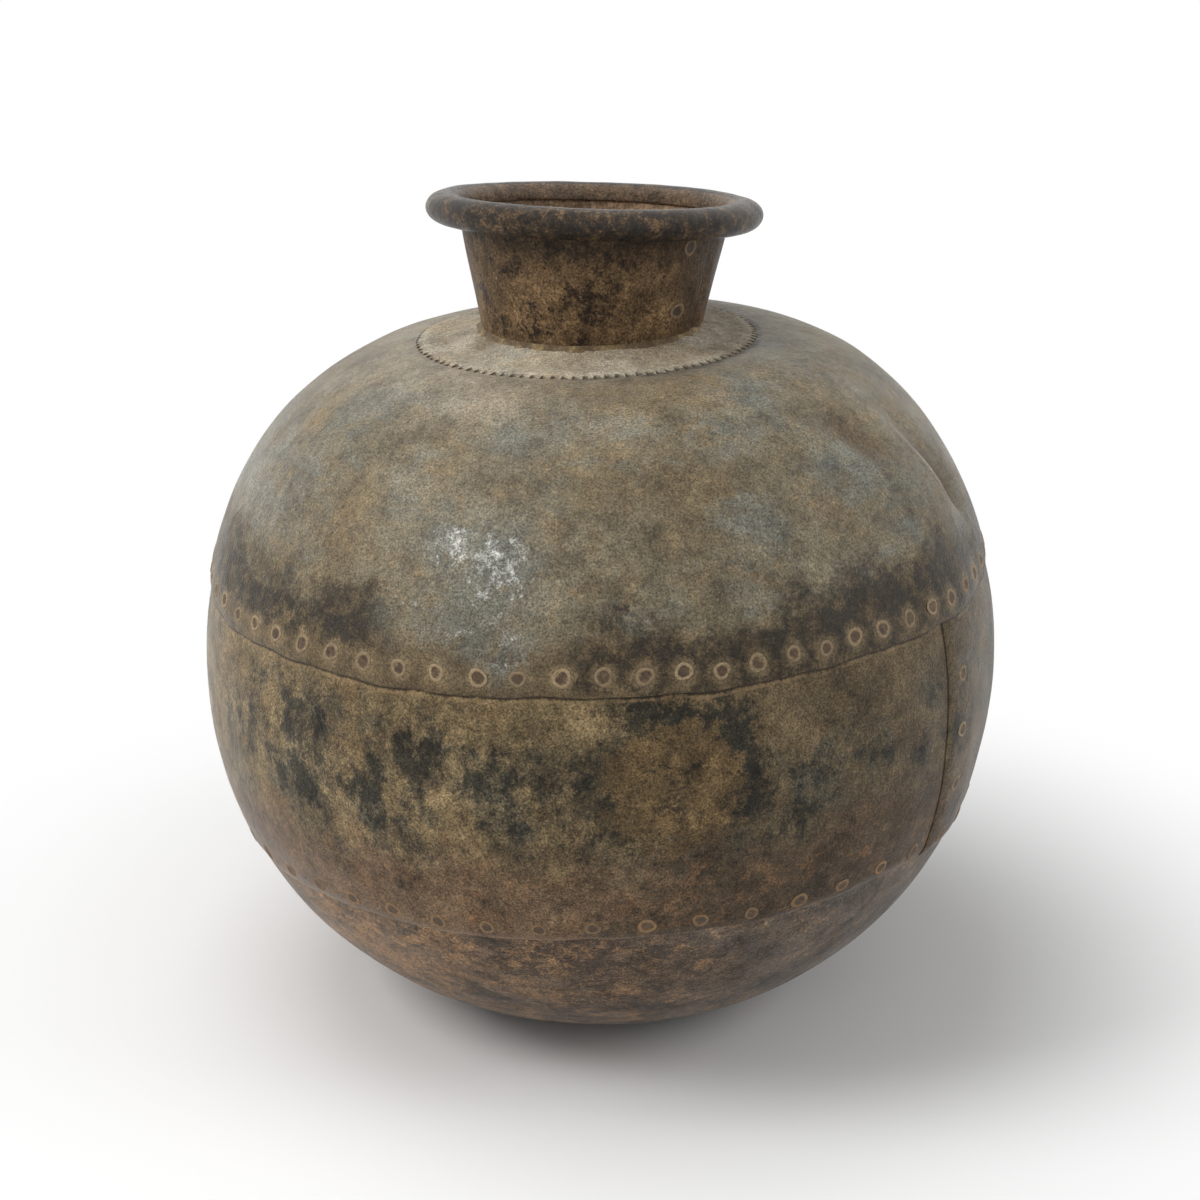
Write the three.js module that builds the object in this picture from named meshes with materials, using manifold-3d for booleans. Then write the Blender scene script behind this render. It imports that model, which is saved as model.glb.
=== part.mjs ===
// Riveted sheet-iron water pot: a dished bottom pan, a belt of two plates, a domed top plate,
// a toothed shoulder ring and a flared neck with a beaded rim. Each plate laps outside the one below.
// Millimetres, +Z up, origin on the ground under the middle of the foot, front of the pot towards -Y.
// Azimuth is measured from the front, growing towards +X.

import * as THREE from 'three';
import { mergeVertices } from 'three/addons/utils/BufferGeometryUtils.js';
import Module from 'manifold-3d';

const wasm = await Module();
wasm.setup();

// Body outline, on the outer faces
const BELLY_RADIUS = 225.7;
const BELLY_HEIGHT = 197;
const FOOT_RADIUS = 50;
const LAND_RADIUS = 98;
const LAND_HEIGHT = 381;

// How far the outline runs on in its own direction at the foot, the belly and the land before it turns
const FOOT_SWELL = 94;
const BELLY_SWELL_BELOW = 115;
const BELLY_SWELL_ABOVE = 103;
const LAND_SWELL = 65;
const LAND_DROP = 4.6;

// Sheet and laps
const SHEET = 1.6;
const LAP_GAP = 0.3;
const LAP_STEP = SHEET + LAP_GAP;

// The two level seams: height of the outer plate's edge, how much higher it is at the right, and the lap
const LOWER_SEAM_HEIGHT = 112.5;
const LOWER_SEAM_RISE = 9.5;
const LOWER_LAP = 18;
const UPPER_SEAM_HEIGHT = 250.5;
const UPPER_SEAM_RISE = 7;
const UPPER_LAP = 20;

// Rivets
const LOWER_RIVET_COUNT = 48;
const LOWER_RIVET_START = -1;
const UPPER_RIVET_COUNT = 66;
const UPPER_RIVET_START = -0.9;
const SIDE_RIVET_COUNT = 3;
const RIVET_SIDES = 6;
const RIVET_HEAD_RADIUS = 4.6;
const RIVET_SHANK_RADIUS = 3;
const RIVET_CROWN = 0.7;
const RIVET_CLEARANCE = 0.3;
const RIVET_ROOT = 0.5;

// The belt's two upright laps, each one panel wide; a panel is the width between two lower rivets
const RIGHT_LAP_PANEL = 8;
const LEFT_LAP_PANEL = 32;

// Rows of facets up each plate
const PAN_ROWS = 5;
const BELT_ROWS = 5;
const DOME_ROWS = 7;

// The dome's land is higher on the right, and its mouth and ring sit left of the middle
const LAND_TILT = 1.5;
const RING_SHIFT = -7.3;
const DOME_MOUTH_RADIUS = 78;

// Shoulder ring
const RING_RADIUS = 95.5;
const RING_FLAT_RADIUS = 80;
const RING_TUCK = 3;
const RING_RISE = 5.5;
const RING_SIDES = 36;
const TOOTH_COUNT = 104;
const TOOTH_DEPTH = 4;

// Neck, in its own frame with its foot at the top face of the shoulder ring
const NECK_FOOT_RADIUS = 61.3;
const NECK_TOP_RADIUS = 75.2;
const NECK_SPIGOT = 10;
const NECK_SHIFT = 2.4;
const NECK_LEAN_BACK = 5.5;
const NECK_LEAN_RIGHT = 3.2;
const NECK_PANELS = 36;
const NECK_LAP_AZIMUTH = 61;
const NECK_LAP_PANELS = 3;
const NECK_TUCK_DROP = 4;
const NECK_RIVET_HEIGHTS = [14, 49];
const NECK_SEAT_GAP = 0.3;

// Braze fillet round the foot of the neck
const BRAZE_WIDTH = 4;
const BRAZE_HEIGHT = 3;

// Rim bead and the rod inside it
const BEAD_OVERHANG = 17.5;
const BEAD_HALF_HEIGHT = 8.4;
const BEAD_HEIGHT = 62.5;
const BEAD_GRIP_GAP = 0.5;
const BEAD_INNER_END = 188;
const BEAD_STEPS = 10;
const NECK_TOP_IN_BEAD = 1.5;
const HOOP_CLEARANCE = 0.7;
const HOOP_SIDES = 6;

// Reach of a cutter past the face that it opens, merging distance of vertices, degrees in a full turn, halvings in a
// height search
const CUT_REACH = 3;
const WELD = 1e-4;
const FULL_TURN = 360;
const HEIGHT_HALVINGS = 48;
const UP = new THREE.Vector3(0, 0, 1);
const UNIT = new THREE.Vector3(1, 1, 1);

const radians = THREE.MathUtils.degToRad;
const lerp = THREE.MathUtils.lerp;

// Finishes: each piece has its own copy
const DOME_IRON = { color: 0x7b705d, roughness: 0.72, metalness: 0.35 };
const BELT_IRON = { color: 0x55462f, roughness: 0.62, metalness: 0.4 };
const PAN_IRON = { color: 0x574231, roughness: 0.66, metalness: 0.4 };
const NECK_IRON = { color: 0x453425, roughness: 0.6, metalness: 0.45 };
const RIM_IRON = { color: 0x372c25, roughness: 0.45, metalness: 0.55 };
const RIVET_IRON = { color: 0x74614a, roughness: 0.55, metalness: 0.5 };
const BRAZE_BRASS = { color: 0x8d7242, roughness: 0.6, metalness: 0.5 };

const pot = new THREE.Group();

// One closed body as a named mesh with its own material
function addPiece(parent, name, geometry, finish) {
  const piece = new THREE.Mesh(geometry, new THREE.MeshStandardMaterial(finish));
  piece.name = name;
  parent.add(piece);
  return piece;
}

// Vertices merged and faces without area dropped
function welded(geometry) {
  geometry.deleteAttribute('normal');
  geometry.deleteAttribute('uv');
  const merged = mergeVertices(geometry, WELD);
  const corners = merged.index.array;
  const kept = [];
  for (let i = 0; i < corners.length; i += 3) {
    const [a, b, c] = corners.slice(i, i + 3);
    if (a !== b && b !== c && c !== a) {
      kept.push(a, b, c);
    }
  }
  merged.setIndex(kept);
  merged.computeVertexNormals();
  return merged;
}

function toSolid(geometry) {
  const closed = welded(geometry.clone());
  return new wasm.Manifold(new wasm.Mesh({
    numProp: 3,
    vertProperties: new Float32Array(closed.attributes.position.array),
    triVerts: new Uint32Array(closed.index.array),
  }));
}

function toGeometry(solid) {
  const mesh = solid.getMesh();
  const geometry = new THREE.BufferGeometry();
  geometry.setAttribute('position', new THREE.BufferAttribute(mesh.vertProperties, 3));
  geometry.setIndex(new THREE.BufferAttribute(mesh.triVerts, 1));
  geometry.computeVertexNormals();
  return geometry;
}

function withCuts(geometry, cutters) {
  let solid = toSolid(geometry);
  for (const cutter of cutters) {
    solid = solid.subtract(toSolid(cutter));
  }
  return toGeometry(solid);
}

function withJoined(geometry, additions) {
  let solid = toSolid(geometry);
  for (const addition of additions) {
    solid = solid.add(toSolid(addition));
  }
  return toGeometry(solid);
}

// Solid of revolution about Z from [radius, height] points, with its first side at the start azimuth
function revolved(points, sides, startAzimuth = 0) {
  const outline = points.map(([radius, height]) => new THREE.Vector2(radius, height));
  const geometry = new THREE.LatheGeometry(outline, sides, radians(startAzimuth));
  geometry.rotateX(Math.PI / 2);
  return welded(geometry);
}

function around(radius, azimuth, height) {
  const angle = radians(azimuth);
  return new THREE.Vector3(radius * Math.sin(angle), -radius * Math.cos(angle), height);
}

// Sheet between an outer and an inner skin; each column lists [outer, inner] pairs from its low edge up
function sheetGeometry(columns, wraps) {
  const rows = columns[0].length;
  const positions = [];
  for (const column of columns) {
    for (const [outer, inner] of column) {
      positions.push(...outer.toArray(), ...inner.toArray());
    }
  }
  const faces = [];
  const quad = (a, b, c, d) => faces.push(a, b, c, a, c, d);
  const outerAt = (column, row) => ((column % columns.length) * rows + row) * 2;
  const innerAt = (column, row) => outerAt(column, row) + 1;
  const panels = wraps ? columns.length : columns.length - 1;
  const top = rows - 1;
  for (let k = 0; k < panels; k += 1) {
    for (let j = 0; j < top; j += 1) {
      quad(outerAt(k, j), outerAt(k + 1, j), outerAt(k + 1, j + 1), outerAt(k, j + 1));
      quad(innerAt(k, j), innerAt(k, j + 1), innerAt(k + 1, j + 1), innerAt(k + 1, j));
    }
    quad(innerAt(k, 0), innerAt(k + 1, 0), outerAt(k + 1, 0), outerAt(k, 0));
    quad(outerAt(k, top), outerAt(k + 1, top), innerAt(k + 1, top), innerAt(k, top));
  }
  if (!wraps) {
    for (let j = 0; j < top; j += 1) {
      quad(outerAt(0, j), outerAt(0, j + 1), innerAt(0, j + 1), innerAt(0, j));
      quad(outerAt(panels, j), innerAt(panels, j), innerAt(panels, j + 1), outerAt(panels, j + 1));
    }
  }
  const geometry = new THREE.BufferGeometry();
  geometry.setAttribute('position', new THREE.Float32BufferAttribute(positions, 3));
  geometry.setIndex(faces);
  return welded(geometry);
}

// Outline of the innermost plate; the belt stands one lap step outside it and the dome two
const OUTLINE_LAYERS = { pan: 0, belt: 1, dome: 2 };
const OUTLINE_FOOT = new THREE.Vector2(FOOT_RADIUS, 0);
const OUTLINE_BELLY = new THREE.Vector2(BELLY_RADIUS - LAP_STEP, BELLY_HEIGHT);
const OUTLINE_LAND = new THREE.Vector2(LAND_RADIUS, LAND_HEIGHT - OUTLINE_LAYERS.dome * LAP_STEP);

const lowerOutline = new THREE.CubicBezierCurve(
  OUTLINE_FOOT,
  new THREE.Vector2(OUTLINE_FOOT.x + FOOT_SWELL, OUTLINE_FOOT.y),
  new THREE.Vector2(OUTLINE_BELLY.x, OUTLINE_BELLY.y - BELLY_SWELL_BELOW),
  OUTLINE_BELLY,
);
const upperOutline = new THREE.CubicBezierCurve(
  OUTLINE_BELLY,
  new THREE.Vector2(OUTLINE_BELLY.x, OUTLINE_BELLY.y + BELLY_SWELL_ABOVE),
  new THREE.Vector2(OUTLINE_LAND.x + LAND_SWELL, OUTLINE_LAND.y - LAND_DROP),
  OUTLINE_LAND,
);

// Places along the outline: the axis, the foot's edge, the belly, the land's edge and the dome's mouth
const AT_AXIS = -1;
const AT_FOOT = 0;
const AT_BELLY = 1;
const AT_LAND = 2;
const AT_MOUTH = 3;

// Point of the outline and the direction out of the sheet there, as radius and height
function outlineAt(place) {
  if (place < AT_FOOT) {
    return { point: new THREE.Vector2(FOOT_RADIUS * (place - AT_AXIS), 0), out: new THREE.Vector2(0, -1) };
  }
  if (place > AT_LAND) {
    const radius = lerp(LAND_RADIUS, DOME_MOUTH_RADIUS, place - AT_LAND);
    return { point: new THREE.Vector2(radius, OUTLINE_LAND.y), out: new THREE.Vector2(0, 1) };
  }
  const curve = place < AT_BELLY ? lowerOutline : upperOutline;
  const along = place < AT_BELLY ? place : place - AT_BELLY;
  const tangent = curve.getTangent(along);
  return { point: curve.getPoint(along), out: new THREE.Vector2(tangent.y, -tangent.x) };
}

// Place on the outline, between the foot and the land, that lies at a height
function placeAtHeight(height) {
  let low = AT_FOOT;
  let high = AT_LAND;
  for (let i = 0; i < HEIGHT_HALVINGS; i += 1) {
    const middle = (low + high) / 2;
    if (outlineAt(middle).point.y < height) {
      low = middle;
    } else {
      high = middle;
    }
  }
  return low;
}

const lowerEdgeAt = (azimuth) => LOWER_SEAM_HEIGHT + LOWER_SEAM_RISE * Math.sin(radians(azimuth));
const upperEdgeAt = (azimuth) => UPPER_SEAM_HEIGHT + UPPER_SEAM_RISE * Math.sin(radians(azimuth));

// Places from just after one place to another, in equal steps
function steps(from, to, count) {
  return Array.from({ length: count }, (_, i) => lerp(from, to, (i + 1) / count));
}

// Edges of the panels round the body, with a lower rivet in the middle of each panel
const PANEL_ANGLE = FULL_TURN / LOWER_RIVET_COUNT;
const edgeAzimuth = (edge) => LOWER_RIVET_START + (edge - 0.5) * PANEL_ANGLE;
const lowerRivetAzimuth = (panel) => LOWER_RIVET_START + panel * PANEL_ANGLE;

// The rear plate rides up over the front plate at its two ends, and the dome's skirt over the rear plate
const REAR_FIRST_EDGE = RIGHT_LAP_PANEL;
const REAR_LAST_EDGE = LEFT_LAP_PANEL + 1;
const FRONT_FIRST_EDGE = LEFT_LAP_PANEL;
const FRONT_LAST_EDGE = LOWER_RIVET_COUNT + RIGHT_LAP_PANEL + 1;
const LAP_EDGES = [RIGHT_LAP_PANEL, RIGHT_LAP_PANEL + 1, LEFT_LAP_PANEL, LEFT_LAP_PANEL + 1];
const liftAt = (edge) => (LAP_EDGES.includes(edge % LOWER_RIVET_COUNT) ? LAP_STEP : 0);
const inRearPlate = (panel) => panel >= RIGHT_LAP_PANEL && panel <= LEFT_LAP_PANEL;

// Point on a skin of the body, a distance outside the outline
function skinPoint(place, azimuth, offset) {
  const { point, out } = outlineAt(place);
  return around(point.x + out.x * offset, azimuth, point.y + out.y * offset);
}

// The dome's lean: a share of the land's tilt, and past the land a share of the mouth's shift
const LAND_GRADE = Math.tan(radians(LAND_TILT));
function leaned(point, tiltShare, shiftShare) {
  const lean = point.clone();
  lean.x += RING_SHIFT * shiftShare;
  lean.z += lean.x * LAND_GRADE * tiltShare;
  return lean;
}

function sheetPair(place, azimuth, offset, tiltShare = 0) {
  const shiftShare = Math.max(0, place - AT_LAND);
  const outer = leaned(skinPoint(place, azimuth, offset), tiltShare, shiftShare);
  const inner = leaned(skinPoint(place, azimuth, offset - SHEET), tiltShare, shiftShare);
  return [outer, inner];
}

function lowerLapPlaces(azimuth) {
  const edge = lowerEdgeAt(azimuth);
  return [placeAtHeight(edge), placeAtHeight(edge + LOWER_LAP)];
}

function upperLapPlaces(azimuth) {
  const edge = upperEdgeAt(azimuth);
  return [placeAtHeight(edge), placeAtHeight(edge + UPPER_LAP)];
}

function panColumn(edge) {
  const azimuth = edgeAzimuth(edge);
  const [seam, lapTop] = lowerLapPlaces(azimuth);
  const places = [AT_AXIS, AT_FOOT, ...steps(AT_FOOT, seam, PAN_ROWS), lapTop];
  return places.map((place) => sheetPair(place, azimuth, OUTLINE_LAYERS.pan * LAP_STEP));
}

function beltColumn(edge, lift) {
  const azimuth = edgeAzimuth(edge);
  const [lowerSeam, lowerTop] = lowerLapPlaces(azimuth);
  const [upperSeam, upperTop] = upperLapPlaces(azimuth);
  const places = [lowerSeam, lowerTop, ...steps(lowerTop, upperSeam, BELT_ROWS), upperTop];
  return places.map((place) => sheetPair(place, azimuth, OUTLINE_LAYERS.belt * LAP_STEP + lift));
}

function domeColumn(edge) {
  const azimuth = edgeAzimuth(edge);
  const [seam, lapTop] = upperLapPlaces(azimuth);
  const places = [seam, lapTop, ...steps(lapTop, AT_LAND, DOME_ROWS), AT_MOUTH];
  return places.map((place) => {
    const tiltShare = THREE.MathUtils.smoothstep(place, lapTop, AT_LAND);
    const offset = OUTLINE_LAYERS.dome * LAP_STEP + liftAt(edge) * (1 - tiltShare);
    return sheetPair(place, azimuth, offset, tiltShare);
  });
}

function edgeRange(first, last) {
  return Array.from({ length: last - first + 1 }, (_, i) => first + i);
}

// Rivet standing on Z: its head over the outer face at zero, its tail under the inner face, a grip below
function rivetGeometry(grip) {
  const tail = -grip - RIVET_CLEARANCE;
  const points = [
    [0, tail - RIVET_CROWN],
    [RIVET_HEAD_RADIUS, tail],
    [RIVET_SHANK_RADIUS, tail],
    [RIVET_SHANK_RADIUS, RIVET_CLEARANCE],
    [RIVET_HEAD_RADIUS, RIVET_CLEARANCE],
    [0, RIVET_CLEARANCE + RIVET_CROWN],
  ];
  return revolved(points, RIVET_SIDES);
}

// Hole for that rivet's shank, with its clearance all round
function rivetHole(grip) {
  const bore = RIVET_SHANK_RADIUS + RIVET_CLEARANCE;
  const points = [
    [0, -grip - CUT_REACH],
    [bore, -grip - CUT_REACH],
    [bore, CUT_REACH],
    [0, CUT_REACH],
  ];
  return revolved(points, RIVET_SIDES);
}

// Crown of a rivet that is hammered into one with its outer sheet; its cone runs on into the sheet
function rivetHead() {
  const rootRadius = (RIVET_HEAD_RADIUS * (RIVET_CROWN + RIVET_ROOT)) / RIVET_CROWN;
  return revolved([[0, -RIVET_ROOT], [rootRadius, -RIVET_ROOT], [0, RIVET_CROWN]], RIVET_SIDES);
}

// Frame that stands on the middle of a facet, from its corners low left, low right, high right, high left
function facetFrame([lowLeft, lowRight, highRight, highLeft]) {
  const middle = lowLeft.clone().add(lowRight).add(highRight).add(highLeft).divideScalar(4);
  const rising = highRight.clone().sub(lowLeft);
  const falling = highLeft.clone().sub(lowRight);
  const out = rising.cross(falling).normalize();
  const turn = new THREE.Quaternion().setFromUnitVectors(UP, out);
  return new THREE.Matrix4().compose(middle, turn, UNIT);
}

// Facet of the belt over the lower lap, in the panel's outer plate
function lowerLapFacet(panel) {
  const cornersAt = (edge) => {
    const lift = inRearPlate(panel) ? liftAt(edge) : 0;
    const azimuth = edgeAzimuth(edge);
    return lowerLapPlaces(azimuth).map((place) => {
      return skinPoint(place, azimuth, OUTLINE_LAYERS.belt * LAP_STEP + lift);
    });
  };
  const [lowLeft, highLeft] = cornersAt(panel);
  const [lowRight, highRight] = cornersAt(panel + 1);
  return [lowLeft, lowRight, highRight, highLeft];
}

function lowerRivetGrip(panel) {
  const lift = inRearPlate(panel) ? (liftAt(panel) + liftAt(panel + 1)) / 2 : 0;
  return SHEET + LAP_STEP + lift;
}

const lowerRivets = edgeRange(0, LOWER_RIVET_COUNT - 1).map((panel) => ({
  panel,
  grip: lowerRivetGrip(panel),
  frame: facetFrame(lowerLapFacet(panel)),
}));
const lowerRivetHoles = lowerRivets.map(({ grip, frame }) => rivetHole(grip).applyMatrix4(frame));

// Frame on a plate where a joined head sits, from the facet edges at both sides of it
function headFrame(azimuth, height, layer) {
  const panel = Math.floor((azimuth - edgeAzimuth(0)) / PANEL_ANGLE);
  const place = placeAtHeight(height);
  const cornersAt = (edge, wanted) => {
    const offset = layer * LAP_STEP + liftAt((edge + LOWER_RIVET_COUNT) % LOWER_RIVET_COUNT);
    return skinPoint(wanted, edgeAzimuth(edge), offset);
  };
  const rise = placeAtHeight(height + RIVET_HEAD_RADIUS);
  const drop = placeAtHeight(height - RIVET_HEAD_RADIUS);
  const low = [cornersAt(panel, drop), cornersAt(panel + 1, drop)];
  const high = [cornersAt(panel, rise), cornersAt(panel + 1, rise)];
  const frame = facetFrame([low[0], low[1], high[1], high[0]]);
  const share = (azimuth - edgeAzimuth(panel)) / PANEL_ANGLE;
  const middle = cornersAt(panel, place).lerp(cornersAt(panel + 1, place), share);
  return frame.setPosition(middle);
}

// Upper row: heads joined to the dome's skirt, half a lap above its edge
function upperHeads() {
  return edgeRange(0, UPPER_RIVET_COUNT - 1).map((rivet) => {
    const azimuth = UPPER_RIVET_START + (rivet * FULL_TURN) / UPPER_RIVET_COUNT;
    const height = upperEdgeAt(azimuth) + UPPER_LAP / 2;
    return rivetHead().applyMatrix4(headFrame(azimuth, height, OUTLINE_LAYERS.dome));
  });
}

// Heads up an upright lap of the belt, evenly between the lower row and the dome's edge
function sideHeads(panel) {
  const azimuth = lowerRivetAzimuth(panel);
  const from = lowerEdgeAt(azimuth) + LOWER_LAP / 2;
  const to = upperEdgeAt(azimuth);
  return edgeRange(1, SIDE_RIVET_COUNT).map((rivet) => {
    const height = lerp(from, to, rivet / (SIDE_RIVET_COUNT + 1));
    return rivetHead().applyMatrix4(headFrame(azimuth, height, OUTLINE_LAYERS.belt));
  });
}

function addBottomPan() {
  const columns = edgeRange(0, LOWER_RIVET_COUNT - 1).map(panColumn);
  addPiece(pot, 'bottom_pan', withCuts(sheetGeometry(columns, true), lowerRivetHoles), PAN_IRON);
}

function addBelt() {
  const front = edgeRange(FRONT_FIRST_EDGE, FRONT_LAST_EDGE).map((edge) => beltColumn(edge, 0));
  const rear = edgeRange(REAR_FIRST_EDGE, REAR_LAST_EDGE).map((edge) => beltColumn(edge, liftAt(edge)));
  const heads = [...sideHeads(RIGHT_LAP_PANEL), ...sideHeads(LEFT_LAP_PANEL)];
  const rearSheet = withJoined(sheetGeometry(rear, false), heads);
  addPiece(pot, 'belt_plate_front', withCuts(sheetGeometry(front, false), lowerRivetHoles), BELT_IRON);
  addPiece(pot, 'belt_plate_rear', withCuts(rearSheet, lowerRivetHoles), BELT_IRON);
}

function addLowerRivets() {
  for (const { panel, grip, frame } of lowerRivets) {
    const number = String(panel + 1).padStart(2, '0');
    const rivet = addPiece(pot, `lower_rivet_${number}`, rivetGeometry(grip), RIVET_IRON);
    rivet.applyMatrix4(frame);
  }
}

function addDome() {
  const columns = edgeRange(0, LOWER_RIVET_COUNT - 1).map(domeColumn);
  addPiece(pot, 'dome_plate', withJoined(sheetGeometry(columns, true), upperHeads()), DOME_IRON);
}

// The ring and all that stands on it: its zero height is the land's top face
const topGroup = new THREE.Group();
topGroup.position.set(RING_SHIFT, 0, LAND_HEIGHT + RING_SHIFT * LAND_GRADE);
topGroup.rotation.y = -radians(LAND_TILT);
pot.add(topGroup);

// The shoulder ring's top face: flat over the land, then a cone up to the neck
const RING_TOP = LAP_GAP + SHEET;
const RING_SLOPE = RING_RISE / (RING_FLAT_RADIUS - NECK_FOOT_RADIUS);
const RING_BORE = NECK_FOOT_RADIUS - RING_RISE;
const ringTopAt = (radius) => RING_TOP + RING_SLOPE * (RING_FLAT_RADIUS - radius);

// The neck stands where that cone reaches its foot
const neckGroup = new THREE.Group();
neckGroup.position.set(NECK_SHIFT, 0, ringTopAt(NECK_FOOT_RADIUS));
neckGroup.rotation.set(-radians(NECK_LEAN_BACK), radians(NECK_LEAN_RIGHT), 0);
neckGroup.updateMatrix();
topGroup.add(neckGroup);

// Radius of the neck's outer face, and the sheet's width measured level across the slope
const NECK_SLOPE = (NECK_TOP_RADIUS - NECK_FOOT_RADIUS) / BEAD_HEIGHT;
const NECK_LEVEL_SHEET = SHEET * Math.hypot(1, NECK_SLOPE);
const NECK_LEVEL_STEP = LAP_STEP * Math.hypot(1, NECK_SLOPE);
const neckRadiusAt = (height) => NECK_FOOT_RADIUS + NECK_SLOPE * height;

const NECK_ANGLE = FULL_TURN / NECK_PANELS;
const neckAzimuth = (edge) => NECK_LAP_AZIMUTH + (edge - NECK_LAP_PANELS) * NECK_ANGLE;

// Space that the neck takes where it passes through the shoulder ring, with its seat gap
function neckEnvelope() {
  const reach = NECK_SPIGOT + RING_RISE + CUT_REACH;
  const points = [
    [0, -reach],
    [neckRadiusAt(-reach) + NECK_SEAT_GAP, -reach],
    [neckRadiusAt(reach) + NECK_SEAT_GAP, reach],
    [0, reach],
  ];
  return revolved(points, NECK_PANELS, neckAzimuth(0)).applyMatrix4(neckGroup.matrix);
}

function toothedPlate() {
  const outline = [];
  for (let i = 0; i < TOOTH_COUNT; i += 1) {
    const tip = (i / TOOTH_COUNT) * 2 * Math.PI;
    const root = ((i + 0.5) / TOOTH_COUNT) * 2 * Math.PI;
    outline.push(new THREE.Vector2(RING_RADIUS, 0).rotateAround(new THREE.Vector2(), tip));
    outline.push(new THREE.Vector2(RING_RADIUS - TOOTH_DEPTH, 0).rotateAround(new THREE.Vector2(), root));
  }
  const shape = new THREE.Shape(outline);
  const hole = new THREE.Path();
  hole.absarc(NECK_SHIFT, 0, RING_FLAT_RADIUS - RING_TUCK, 0, 2 * Math.PI, true);
  shape.holes.push(hole);
  const geometry = new THREE.ExtrudeGeometry(shape, {
    depth: SHEET, bevelEnabled: false, curveSegments: RING_SIDES,
  });
  return geometry.translate(0, 0, LAP_GAP);
}

// Cone of the shoulder ring, from inside the neck's foot out to its flat part
function ringCone() {
  const points = [
    [RING_BORE, ringTopAt(RING_BORE) - SHEET],
    [RING_FLAT_RADIUS, RING_TOP - SHEET],
    [RING_FLAT_RADIUS, RING_TOP],
    [RING_BORE, ringTopAt(RING_BORE)],
    [RING_BORE, ringTopAt(RING_BORE) - SHEET],
  ];
  return revolved(points, RING_SIDES).translate(NECK_SHIFT, 0, 0);
}

function addShoulderRing() {
  const plate = withJoined(toothedPlate(), [ringCone()]);
  addPiece(topGroup, 'shoulder_ring', withCuts(plate, [neckEnvelope()]), DOME_IRON);
}

// Fillet of brass run round the foot of the neck, seated on the ring's cone
function addNeckBraze() {
  const edge = NECK_FOOT_RADIUS + BRAZE_WIDTH;
  const seat = (radius) => ringTopAt(radius) + NECK_SEAT_GAP;
  const crest = seat(NECK_FOOT_RADIUS) + BRAZE_HEIGHT;
  const points = [
    [RING_BORE, seat(RING_BORE)],
    [edge, seat(edge)],
    [NECK_FOOT_RADIUS, crest],
    [RING_BORE, crest],
    [RING_BORE, seat(RING_BORE)],
  ];
  const collar = revolved(points, NECK_PANELS, neckAzimuth(0)).translate(NECK_SHIFT, 0, 0);
  addPiece(topGroup, 'neck_braze', withCuts(collar, [neckEnvelope()]), BRAZE_BRASS);
}

// One sheet bent round into a cone, its first panels tucked inside its last ones
function neckColumn(edge) {
  const tucked = edge <= NECK_LAP_PANELS;
  const trimmed = edge <= NECK_LAP_PANELS + 1;
  const inset = tucked ? NECK_LEVEL_STEP : 0;
  const top = trimmed ? BEAD_HEIGHT - NECK_TUCK_DROP : BEAD_HEIGHT + NECK_TOP_IN_BEAD;
  return [-NECK_SPIGOT, top].map((height) => {
    const radius = neckRadiusAt(height) - inset;
    const azimuth = neckAzimuth(edge);
    return [around(radius, azimuth, height), around(radius - NECK_LEVEL_SHEET, azimuth, height)];
  });
}

// Frame on the neck's outer face, in the middle panel of its lap
function neckLapFrame(height) {
  const middle = NECK_PANELS + Math.floor(NECK_LAP_PANELS / 2);
  const cornersAt = (edge) => {
    const heights = [height - RIVET_HEAD_RADIUS, height + RIVET_HEAD_RADIUS];
    return heights.map((level) => around(neckRadiusAt(level), neckAzimuth(edge), level));
  };
  const [lowLeft, highLeft] = cornersAt(middle);
  const [lowRight, highRight] = cornersAt(middle + 1);
  return facetFrame([lowLeft, lowRight, highRight, highLeft]);
}

function addNeck() {
  const frames = NECK_RIVET_HEIGHTS.map(neckLapFrame);
  const grip = SHEET + LAP_STEP;
  const holes = frames.map((frame) => rivetHole(grip).applyMatrix4(frame));
  const columns = edgeRange(0, NECK_PANELS + NECK_LAP_PANELS).map(neckColumn);
  addPiece(neckGroup, 'neck_collar', withCuts(sheetGeometry(columns, false), holes), NECK_IRON);
  frames.forEach((frame, i) => {
    const rivet = addPiece(neckGroup, `neck_rivet_${i + 1}`, rivetGeometry(grip), RIVET_IRON);
    rivet.applyMatrix4(frame);
  });
}

// Section of the bead: an oval from inside the mouth, over the neck's edge, to the bead's outer radius
const BEAD_RADIUS = NECK_TOP_RADIUS + BEAD_OVERHANG;
const BEAD_INNER_RADIUS = NECK_TOP_RADIUS - NECK_LEVEL_SHEET - BEAD_GRIP_GAP - SHEET;
const BEAD_HALF_WIDTH = (BEAD_RADIUS - BEAD_INNER_RADIUS) / 2;
const BEAD_MIDDLE = (BEAD_RADIUS + BEAD_INNER_RADIUS) / 2;

function beadPoint(angle, inset) {
  const across = (BEAD_HALF_WIDTH - inset) * Math.cos(radians(angle));
  const up = (BEAD_HALF_HEIGHT - inset) * Math.sin(radians(angle));
  return [BEAD_MIDDLE + across, BEAD_HEIGHT + up];
}

// The bead's lower end stops just short of the neck's outer face
function beadLowerEnd() {
  const bottom = 270;
  const clearOfNeck = (angle) => {
    const [radius, height] = beadPoint(angle, 0);
    return radius - neckRadiusAt(height) > BEAD_GRIP_GAP;
  };
  let angle = bottom;
  while (clearOfNeck(angle - 1)) {
    angle -= 1;
  }
  return angle;
}

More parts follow.
